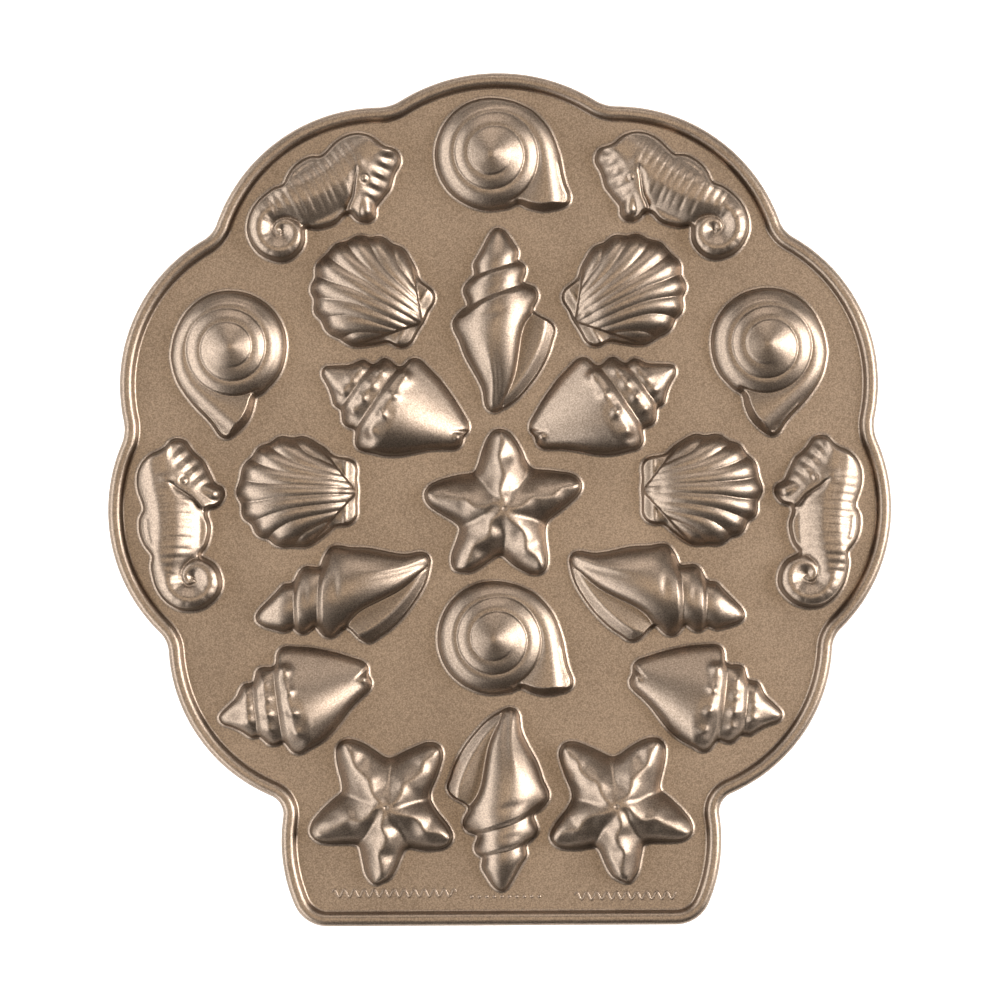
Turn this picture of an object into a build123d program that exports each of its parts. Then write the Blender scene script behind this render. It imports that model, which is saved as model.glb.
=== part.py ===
from build123d import *
import math
import os

# Shell-shaped cakelet pan: one aluminium casting, seen and modelled with the
# domes of its moulds up and the cavities opening downwards.
# Millimetres.  Origin at the middle of the footprint, on the plane that the
# rim lies on; +Y is the longest side, +Z is the way the domes point.

# ---- driving dimensions ----------------------------------------------------
DECK_UNDER = 1.5        # cavity-side face of the deck above the rim's lip
DECK_TOP = 4.5          # dome-side face of the deck (3 mm cast wall)
RIM_TOP = 8.0           # crest of the rim bead
RIM_BEAD = 5.2          # width of the bead, from the outer edge inwards
RIM_BAND = 6.8          # width of the rim piece, where the deck starts
RIM_ROUND = 2.2         # rounding of the bead's crest
RIM_UNDER_ROUND = 1.0   # rounding of the lip's outer edge, underneath
FOOT_FLANGE = 1.2       # land around each mould where it blends into the deck
SIDE_WALL = 2.4         # cast wall of a mould, measured sideways
CROWN_WALL = 2.6        # cast wall of a mould at its crown, measured upwards
MARK_HEIGHT = 0.35      # height of the small raised ornament on the base

# height of each mould's crown above the dome-side face of the deck
CROWN = {
    "snail": 14.5,
    "scallop": 12.5,
    "star": 14.0,
    "whelk": 14.5,
    "conch": 14.5,
    "seahorse": 12.8,
}

# section profile of a mould: share of the crown's height, share of the width
PROFILE = [(-0.05, 1.0), (0.0, 0.998), (0.22, 0.95), (0.45, 0.86), (0.66, 0.735), (0.83, 0.58), (0.94, 0.42), (1.0, 0.27)]

# ---- the pan's outline: arcs (centre x, centre y, radius), top to bottom ---
LOBES = [
    (0.0, 95.91, 74.59),
    (47.20, 87.68, 69.31),
    (84.40, 46.02, 67.26),
    (88.71, -4.02, 67.92),
    (65.78, -56.46, 67.01),
    (22.91, -136.38, 65.12),
]
NOTCH_R = [17.0, 12.0, 16.0, 12.0, 8.0]     # hollow fillets between the lobes
CORNER_R = 14.48                            # the two corners of the base
BASE_Y = -170.50

# ---- mould outlines at the deck, about their own centroids -----------------
OUTLINES = {
    "snail": [
        (7.35, -18.28), (11.75, -19.98), (16.79, -20.94), (21.98, -20.30), (26.50, -18.60), (27.86, -15.04), (26.08, -10.28), (24.75, -5.04),
        (23.68, 0.28), (21.99, 5.54), (19.83, 10.54), (16.72, 14.84), (13.02, 18.48), (8.53, 20.99), (3.52, 22.79), (-1.79, 23.71),
        (-7.11, 23.52), (-12.21, 22.12), (-16.79, 19.57), (-20.67, 15.94), (-23.56, 11.51), (-25.44, 6.54), (-26.07, 1.30), (-25.44, -3.95),
        (-23.59, -8.91), (-20.64, -13.23), (-16.70, -16.70), (-11.96, -19.22), (-6.91, -20.69), (-1.67, -20.67), (3.55, -19.71),
    ],
    "scallop": [
        (-2.45, 21.46), (-6.22, 21.92), (-9.64, 20.34), (-12.54, 18.82), (-15.79, 17.20), (-17.93, 14.06), (-20.18, 11.86), (-22.14, 8.69),
        (-22.74, 5.21), (-23.77, 1.96), (-23.93, -1.78), (-22.31, -4.84), (-22.08, -8.42), (-20.24, -11.64), (-17.81, -13.78), (-15.99, -17.18),
        (-12.72, -18.67), (-9.60, -20.52), (-6.09, -22.02), (-2.08, -21.83), (1.32, -21.99), (5.11, -21.30), (8.80, -18.97), (12.32, -16.18),
        (15.40, -13.59), (19.33, -13.14), (22.56, -11.51), (23.93, -8.13), (23.86, -3.75), (24.06, 0.36), (23.63, 4.34), (23.82, 8.55),
        (22.58, 11.96), (19.30, 13.51), (15.47, 14.01), (12.32, 16.08), (8.79, 18.82), (4.98, 21.08), (1.05, 21.99),
    ],
    "star": [
        (-4.82, 29.40), (-7.43, 24.50), (-9.18, 18.79), (-11.29, 14.02), (-16.42, 12.73), (-22.36, 11.37), (-27.80, 9.30), (-31.03, 5.70),
        (-29.91, 1.19), (-25.60, -2.24), (-20.35, -5.29), (-17.01, -8.75), (-18.37, -13.85), (-20.16, -19.38), (-19.69, -24.21), (-15.70, -25.85),
        (-10.69, -25.06), (-5.77, -21.77), (-1.33, -19.14), (2.73, -21.46), (7.51, -24.73), (12.70, -26.64), (16.93, -25.06), (18.04, -20.21),
        (17.33, -14.26), (17.07, -8.49), (19.43, -4.09), (24.25, -0.42), (28.79, 3.59), (31.49, 7.90), (29.77, 11.99), (24.86, 13.88),
        (18.82, 14.56), (13.02, 15.00), (9.35, 18.12), (6.88, 23.47), (3.68, 28.35), (-0.56, 30.96),
    ],
    "whelk": [
        (6.46, 28.44), (4.43, 32.79), (1.51, 36.88), (-2.02, 38.37), (-5.06, 35.52), (-7.55, 30.90), (-10.21, 26.15), (-11.10, 22.07),
        (-11.57, 19.17), (-14.62, 15.91), (-15.09, 11.99), (-13.78, 8.08), (-16.24, 5.57), (-19.29, 1.92), (-19.25, -2.15), (-17.03, -6.69),
        (-15.26, -11.78), (-12.81, -16.53), (-10.14, -21.24), (-8.02, -26.01), (-7.26, -31.01), (-5.22, -34.34), (-1.32, -34.24), (3.11, -31.76),
        (7.09, -28.38), (10.60, -24.35), (13.82, -20.01), (16.53, -15.39), (18.73, -10.53), (20.23, -5.54), (20.66, -1.25), (17.58, 1.93),
        (13.37, 4.17), (12.57, 7.10), (14.28, 11.50), (12.59, 14.83), (8.98, 16.33), (9.01, 19.48), (8.95, 23.33), (6.59, 25.20),
    ],
    "conch": [
        (-10.07, 17.09), (-13.51, 18.67), (-17.39, 17.19), (-22.25, 16.58), (-27.15, 16.35), (-29.51, 14.06), (-28.33, 10.61), (-26.20, 6.16),
        (-24.97, 1.69), (-22.15, -0.84), (-21.63, -3.68), (-20.09, -7.13), (-16.42, -9.00), (-16.33, -12.32), (-15.37, -16.02), (-11.40, -17.58),
        (-6.25, -18.82), (-1.11, -19.25), (4.07, -18.72), (9.26, -17.66), (14.44, -16.85), (19.65, -16.67), (24.17, -16.17), (26.31, -13.08),
        (28.28, -9.95), (28.51, -6.26), (26.05, -1.85), (23.29, 2.72), (20.21, 7.16), (16.95, 11.39), (13.32, 15.14), (9.78, 18.55),
        (6.14, 19.17), (2.89, 16.57), (-0.18, 16.58), (-3.62, 19.16), (-7.00, 18.10),
    ],
    "seahorse": [
        (14.27, 7.46), (17.42, 10.61), (17.29, 14.51), (14.00, 16.71), (12.02, 20.64), (9.81, 25.04), (6.09, 28.49), (3.07, 32.49),
        (-0.70, 34.32), (-4.50, 32.72), (-7.32, 30.00), (-11.70, 27.91), (-15.16, 24.30), (-16.81, 19.58), (-16.65, 14.44), (-15.01, 9.37),
        (-14.54, 5.05), (-16.03, 1.14), (-15.61, -3.88), (-13.58, -8.53), (-10.96, -12.00), (-11.08, -16.64), (-10.11, -21.92), (-8.09, -26.75),
        (-4.77, -30.76), (-0.46, -33.46), (4.52, -34.19), (9.46, -33.20), (13.64, -30.28), (16.55, -26.27), (16.97, -21.54), (15.13, -16.94),
        (11.56, -13.98), (8.71, -12.29), (10.79, -8.40), (12.18, -3.46), (11.78, 1.53), (11.10, 5.57),
    ],
}

# ---- where the moulds stand: name, design, x, y, turn in degrees, mirrored, size
MOULDS = [
    ("snail_mould_top", "snail", 1.14, 136.41, -0.64, False, 0.9997),
    ("snail_mould_left", "snail", -108.23, 57.56, 55.46, True, 0.9987),
    ("snail_mould_right", "snail", 108.23, 57.56, -55.46, False, 0.9987),
    ("snail_mould_lower", "snail", 1.22, -56.90, -1.08, False, 1.0029),
    ("seahorse_mould_upper_left", "seahorse", -69.93, 122.01, -63.77, False, 0.9999),
    ("seahorse_mould_upper_right", "seahorse", 69.93, 122.01, 63.77, True, 0.9999),
    ("seahorse_mould_left", "seahorse", -128.03, -9.54, -0.67, False, 1.0001),
    ("seahorse_mould_right", "seahorse", 128.03, -9.54, 0.67, True, 1.0001),
    ("scallop_mould_upper_left", "scallop", -51.21, 82.58, -29.77, False, 1.0005),
    ("scallop_mould_upper_right", "scallop", 51.21, 82.58, 29.77, True, 1.0005),
    ("scallop_mould_lower_left", "scallop", -80.82, 3.47, -0.70, False, 0.9990),
    ("scallop_mould_lower_right", "scallop", 80.82, 3.47, 0.70, True, 0.9990),
    ("whelk_mould_centre", "whelk", 1.49, 69.83, 0.10, False, 1.0009),
    ("whelk_mould_lower_left", "whelk", -60.32, -37.38, 107.51, True, 1.0012),
    ("whelk_mould_lower_right", "whelk", 60.32, -37.38, -107.51, False, 1.0012),
    ("whelk_mould_bottom", "whelk", -0.62, -118.06, 178.42, False, 0.9967),
    ("conch_mould_upper_left", "conch", -41.07, 36.95, -0.14, False, 1.0028),
    ("conch_mould_upper_right", "conch", 41.07, 36.95, 0.14, True, 1.0028),
    ("conch_mould_lower_left", "conch", -80.64, -78.92, 42.03, False, 0.9972),
    ("conch_mould_lower_right", "conch", 80.64, -78.92, -42.03, True, 0.9972),
    ("starfish_mould_centre", "star", 1.20, -3.11, -0.62, False, 1.0000),
    ("starfish_mould_bottom_left", "star", -46.75, -122.43, 30.29, False, 0.9923),
    ("starfish_mould_bottom_right", "star", 46.75, -122.43, -30.29, True, 0.9923),
]

# ---- crown lines: what each mould's sections shrink towards ----------------
CROWN_LINES = {
    "snail": [[(-3.2, 1.1), (4.0, -3.0), (13.0, -9.5)]],
    "whelk": [[(-2.5, 27.0), (-1.0, 18.0), (0.5, 8.0), (1.5, -5.0), (-0.5, -25.0)]],
    "conch": [[(-20.0, 9.5), (0.0, 1.5), (19.0, -9.0)]],
    "seahorse": [
        [(0.5, 25.7), (-5.0, 19.0), (-3.5, 9.0), (-1.5, -3.4), (0.0, -14.5), (3.5, -22.5)],
        [(-1.0, 22.0), (12.5, 13.0)],
    ],
}
FAN_POINT = (7.0, -0.2)     # the ribs of the scallop run towards this point
STAR_CENTRE = (0.0, 0.6)
STAR_WAIST = 14.5           # distance along an arm where two arms part
STAR_REACH = 29.5           # distance along an arm to its rounded end
STAR_RIDGE = 24.0           # length of the crown line along an arm
STAR_ARMS = [91.0, 13.5, -56.5, -125.5, 170.0]
# how often the crown points are evened out along the outline
CROWN_EVENING = {"snail": 2, "scallop": 0, "star": 1, "whelk": 2, "conch": 2, "seahorse": 3}


def nearest_on(lines, p):
    best = None
    for line in lines:
        for (ax, ay), (bx, by) in zip(line, line[1:]):
            vx, vy = bx - ax, by - ay
            t = ((p[0] - ax) * vx + (p[1] - ay) * vy) / (vx * vx + vy * vy)
            t = min(1.0, max(0.0, t))
            q = (ax + t * vx, ay + t * vy)
            d = math.hypot(p[0] - q[0], p[1] - q[1])
            if best is None or d < best[0]:
                best = (d, q)
    return best[1]


def crown_point(design, p):
    """The point of the crown line that an outline point's sections head for."""
    if design == "scallop":
        return (FAN_POINT[0] + 0.12 * (p[0] - FAN_POINT[0]), FAN_POINT[1] + 0.12 * (p[1] - FAN_POINT[1]))
    if design == "star":
        best = None
        for a in STAR_ARMS:
            u = (math.cos(math.radians(a)), math.sin(math.radians(a)))
            along = (p[0] - STAR_CENTRE[0]) * u[0] + (p[1] - STAR_CENTRE[1]) * u[1]
            if best is None or along > best[0]:
                best = (along, u)
        t = (best[0] - STAR_WAIST) / (STAR_REACH - STAR_WAIST)
        t = min(1.0, max(0.06, t)) * STAR_RIDGE
        return (STAR_CENTRE[0] + t * best[1][0], STAR_CENTRE[1] + t * best[1][1])
    return nearest_on(CROWN_LINES[design], p)


def crown_points(design):
    """Crown points of the whole outline, evened out along it so that neighbouring ones don't cross."""
    line = [crown_point(design, p) for p in OUTLINES[design]]
    for _ in range(CROWN_EVENING[design]):
        ahead, behind = line[1:] + line[:1], line[-1:] + line[:-1]
        line = [((a[0] + 2 * q[0] + b[0]) / 4, (a[1] + 2 * q[1] + b[1]) / 4) for a, q, b in zip(ahead, line, behind)]
    return line


def mould_section(design, width, inset=0.0, outset=0.0):
    """Points of one level section, in the mould's own frame.

    The width and inset draw the outline towards the crown line; the outset
    moves it outwards, square to itself.
    """
    line = OUTLINES[design]
    points = []
    for p, q, ahead, behind in zip(line, crown_points(design), line[1:] + line[:1], line[-1:] + line[:-1]):
        dx, dy = p[0] - q[0], p[1] - q[1]
        reach = math.hypot(dx, dy)
        k = width * max(0.3, 1.0 - inset / reach)
        tx, ty = ahead[0] - behind[0], ahead[1] - behind[1]
        step = outset / math.hypot(tx, ty)
        points.append((q[0] + dx * k + ty * step, q[1] + dy * k - tx * step))
    return points


def placed(points, place):
    _, _, x, y, turn, mirrored, size = place
    c, s = math.cos(math.radians(turn)), math.sin(math.radians(turn))
    out = []
    for px, py in points:
        if mirrored:
            px = -px
        out.append((x + size * (c * px - s * py), y + size * (s * px + c * py)))
    return out


def section_parameters(design):
    """One set of curve parameters for every section of a design, so that its sections match."""
    line = OUTLINES[design]
    along = [0.0]
    for a, b in zip(line, line[1:] + line[:1]):
        along.append(along[-1] + math.hypot(b[0] - a[0], b[1] - a[1]))
    return [v / along[-1] for v in along]


def section_curve(place, width, inset=0.0, outset=0.0):
    """Closed smooth curve of one section where the mould stands."""
    points = placed(mould_section(place[1], width, inset, outset), place)
    return Edge.make_spline(points, periodic=True, parameters=section_parameters(place[1]))


# ---- the pan's outline as tangent arcs, moved inwards by d -----------------
def circle_point(centre, radius, towards):
    dx, dy = towards[0] - centre[0], towards[1] - centre[1]
    n = math.hypot(dx, dy)
    return (centre[0] + dx / n * radius, centre[1] + dy / n * radius)


def hollow_centre(a, b, r):
    """Centre of the hollow fillet of radius r between two lobes."""
    ra, rb = a[2] + r, b[2] + r
    d = math.hypot(b[0] - a[0], b[1] - a[1])
    t = (ra * ra - rb * rb + d * d) / (2 * d)
    h = math.sqrt(ra * ra - t * t)
    ex, ey = (b[0] - a[0]) / d, (b[1] - a[1]) / d
    one = (a[0] + t * ex - h * ey, a[1] + t * ey + h * ex)
    two = (a[0] + t * ex + h * ey, a[1] + t * ey - h * ex)
    return max((one, two), key=lambda p: math.hypot(p[0], p[1]))


def pan_arcs(d):
    """Arcs of the right half, from the top middle to the base: (centre, radius, start, end, hollow)."""
    hollows = [hollow_centre(a, b, r) for a, b, r in zip(LOBES, LOBES[1:], NOTCH_R)]
    arcs = []
    start = (0.0, LOBES[0][1] + LOBES[0][2] - d)
    for i, lobe in enumerate(LOBES):
        centre, radius = (lobe[0], lobe[1]), lobe[2] - d
        if i < len(hollows):
            end = circle_point(centre, radius, hollows[i])
            arcs.append((centre, radius, start, end))
            nxt = LOBES[i + 1]
            start = circle_point((nxt[0], nxt[1]), nxt[2] - d, hollows[i])
            arcs.append((hollows[i], NOTCH_R[i] + d, end, start))
        else:
            # the base corner lies inside the last lobe and touches it
            cy = BASE_Y + CORNER_R
            gap = lobe[2] - CORNER_R
            cx = lobe[0] + math.sqrt(gap * gap - (cy - lobe[1]) ** 2)
            ux, uy = (cx - lobe[0]) / gap, (cy - lobe[1]) / gap
            end = (lobe[0] + ux * radius, lobe[1] + uy * radius)
            arcs.append((centre, radius, start, end))
            arcs.append(((cx, cy), CORNER_R - d, end, (cx, BASE_Y + d)))
    return arcs


def arc_middle(centre, radius, start, end):
    mx, my = (start[0] + end[0]) / 2, (start[1] + end[1]) / 2
    return circle_point(centre, radius, (mx, my))


def draw_pan_outline(d):
    """Draws the closed outline, moved inwards by d, into the current line builder."""
    arcs = pan_arcs(d)
    for centre, radius, start, end in arcs:
        mid = arc_middle(centre, radius, start, end)
        ThreePointArc(start, mid, end)
    foot = arcs[-1][3]
    Line(foot, (-foot[0], foot[1]))
    for centre, radius, start, end in reversed(arcs):
        mid = arc_middle(centre, radius, start, end)
        ThreePointArc((-end[0], end[1]), (-mid[0], mid[1]), (-start[0], start[1]))


os.makedirs("parts", exist_ok=True)

# ---- rim: the thick bead around the edge, and the lip that the pan lies on -
with BuildPart() as rim_bead:
    with BuildSketch(Plane.XY):
        with BuildLine():
            draw_pan_outline(0.0)
        make_face()
        with BuildLine():
            draw_pan_outline(RIM_BAND)
        make_face(mode=Mode.SUBTRACT)
    extrude(amount=DECK_TOP)
    with BuildSketch(Plane.XY.offset(DECK_TOP)):
        with BuildLine():
            draw_pan_outline(0.0)
        make_face()
        with BuildLine():
            draw_pan_outline(RIM_BEAD)
        make_face(mode=Mode.SUBTRACT)
    extrude(amount=RIM_TOP - DECK_TOP)
    fillet(rim_bead.edges().filter_by_position(Axis.Z, RIM_TOP - 0.01, RIM_TOP + 0.01), radius=RIM_ROUND)
    lip = rim_bead.faces().sort_by(Axis.Z)[0].outer_wire().edges()
    fillet(lip, radius=RIM_UNDER_ROUND)
rim_bead.part.label = "rim_bead"
export_step(rim_bead.part, "parts/rim_bead.step")
print("rim_bead", round(rim_bead.part.volume / 1000, 2), "cm3")

# ---- deck: the flat web between the moulds, with a hole under each of them -
with BuildPart() as deck_plate:
    with BuildSketch(Plane.XY.offset(DECK_UNDER)):
        with BuildLine():
            draw_pan_outline(RIM_BAND)
        make_face()
        for place in MOULDS:
            with BuildLine():
                add(section_curve(place, 1.0, outset=FOOT_FLANGE))
            make_face(mode=Mode.SUBTRACT)
    extrude(amount=DECK_TOP - DECK_UNDER)
deck_plate.part.label = "deck_plate"
export_step(deck_plate.part, "parts/deck_plate.step")
print("deck_plate", round(deck_plate.part.volume / 1000, 2), "cm3")

# ---- moulds: a domed shell each, hollow from below -------------------------
capacity = 0.0
for place in MOULDS:
    name, design = place[0], place[1]
    crown = CROWN[design]
    with BuildPart() as mould:
        with BuildSketch(Plane.XY.offset(DECK_UNDER)):
            with BuildLine():
                add(section_curve(place, 1.0, outset=FOOT_FLANGE))
            make_face()
        extrude(amount=DECK_TOP - DECK_UNDER)
        for rise, width in PROFILE:
            with BuildSketch(Plane.XY.offset(DECK_TOP + rise * crown)):
                with BuildLine():
                    add(section_curve(place, width))
                make_face()
        loft()
        solid_volume = mould.part.volume
        below = DECK_TOP - DECK_UNDER
        depth = crown + below - CROWN_WALL
        with BuildSketch(Plane.XY.offset(DECK_UNDER - 0.5)):
            with BuildLine():
                add(section_curve(place, 1.0, inset=SIDE_WALL - 0.3))
            make_face()
        for rise, width in PROFILE[1:]:
            with BuildSketch(Plane.XY.offset(DECK_TOP + rise * (crown - CROWN_WALL))):
                with BuildLine():
                    add(section_curve(place, width, inset=SIDE_WALL))
                make_face()
        loft(mode=Mode.SUBTRACT)
    mould.part.label = name
    export_step(mould.part, "parts/" + name + ".step")
    held = (solid_volume - mould.part.volume) / 1000
    capacity += held
    print(name, "wall", round(mould.part.volume / 1000, 2), "cm3, holds", round(held, 1), "ml", "height", round(mould.part.bounding_box().size.Z, 2))

print("the moulds hold", round(capacity), "ml together")

# ---- small raised ornament on the base: two wave lines and a row of beads --
WAVES = [(-68.0, -18.0, -157.3), (29.0, 70.0, -158.8)]
WAVE_PITCH = 4.0
WAVE_RISE = 1.5
WAVE_HALF = 0.55
BEADS = [(-12.0 + 3.0 * i, -158.9) for i in range(10)]
BEAD_R = 0.75
with BuildPart() as base_ornament:
    with BuildSketch(Plane.XY.offset(DECK_TOP)):
        for x0, x1, y in WAVES:
            steps = int((x1 - x0) / (WAVE_PITCH / 4))
            xs = [x0 + (x1 - x0) * i / steps for i in range(steps + 1)]
            mid = [(x, y + WAVE_RISE * math.sin(2 * math.pi * (x - x0) / WAVE_PITCH)) for x in xs]
            over = [(x, v + WAVE_HALF) for x, v in mid]
            under = [(x, v - WAVE_HALF) for x, v in mid]
            with BuildLine():
                Spline(*over)
                Line(over[-1], under[-1])
                Spline(*reversed(under))
                Line(under[0], over[0])
            make_face()
        with Locations(*BEADS):
            Circle(BEAD_R)
    extrude(amount=MARK_HEIGHT)
base_ornament.part.label = "base_ornament"
export_step(base_ornament.part, "parts/base_ornament.step")
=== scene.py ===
import bpy, math
import numpy as np
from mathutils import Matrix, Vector
from mathutils.geometry import delaunay_2d_cdt


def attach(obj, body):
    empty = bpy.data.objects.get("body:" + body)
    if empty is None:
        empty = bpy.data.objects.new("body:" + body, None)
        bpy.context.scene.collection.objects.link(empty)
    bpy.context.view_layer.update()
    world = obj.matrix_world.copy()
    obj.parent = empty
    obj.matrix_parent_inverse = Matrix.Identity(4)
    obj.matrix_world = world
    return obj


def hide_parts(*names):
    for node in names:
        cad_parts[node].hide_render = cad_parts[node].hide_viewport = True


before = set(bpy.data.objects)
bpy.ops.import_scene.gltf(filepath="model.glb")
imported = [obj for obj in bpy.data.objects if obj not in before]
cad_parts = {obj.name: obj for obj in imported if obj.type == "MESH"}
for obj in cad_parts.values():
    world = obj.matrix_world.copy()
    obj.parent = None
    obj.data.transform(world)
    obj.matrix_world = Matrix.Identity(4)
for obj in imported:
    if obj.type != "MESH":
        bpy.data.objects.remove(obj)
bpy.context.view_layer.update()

# Shapes are worked out in millimetres in the row frame: z = 0 is the plane of
# the rim's lip, +Y the long side, the domes of the cups point up.
MM = 0.001
DECK_UNDER, DECK_TOP = 1.5, 4.5
RIM_TOP = 8.0
RIM_BAND = 6.8          # from the outer edge to where the deck starts
LAND = 1.5              # land around a cup, outside its outline
SIDE_WALL, CROWN_WALL = 2.2, 2.6

LOBES = [
    (0.0, 95.91, 74.59),
    (47.20, 87.68, 69.31),
    (84.40, 46.02, 67.26),
    (88.71, -4.02, 67.92),
    (65.78, -56.46, 67.01),
    (22.91, -136.38, 65.12),
]
NOTCH_R = [17.0, 12.0, 16.0, 12.0, 8.0]     # hollow fillets between the lobes
CORNER_R = 14.48                            # the two corners of the base
BASE_Y = -170.50

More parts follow.
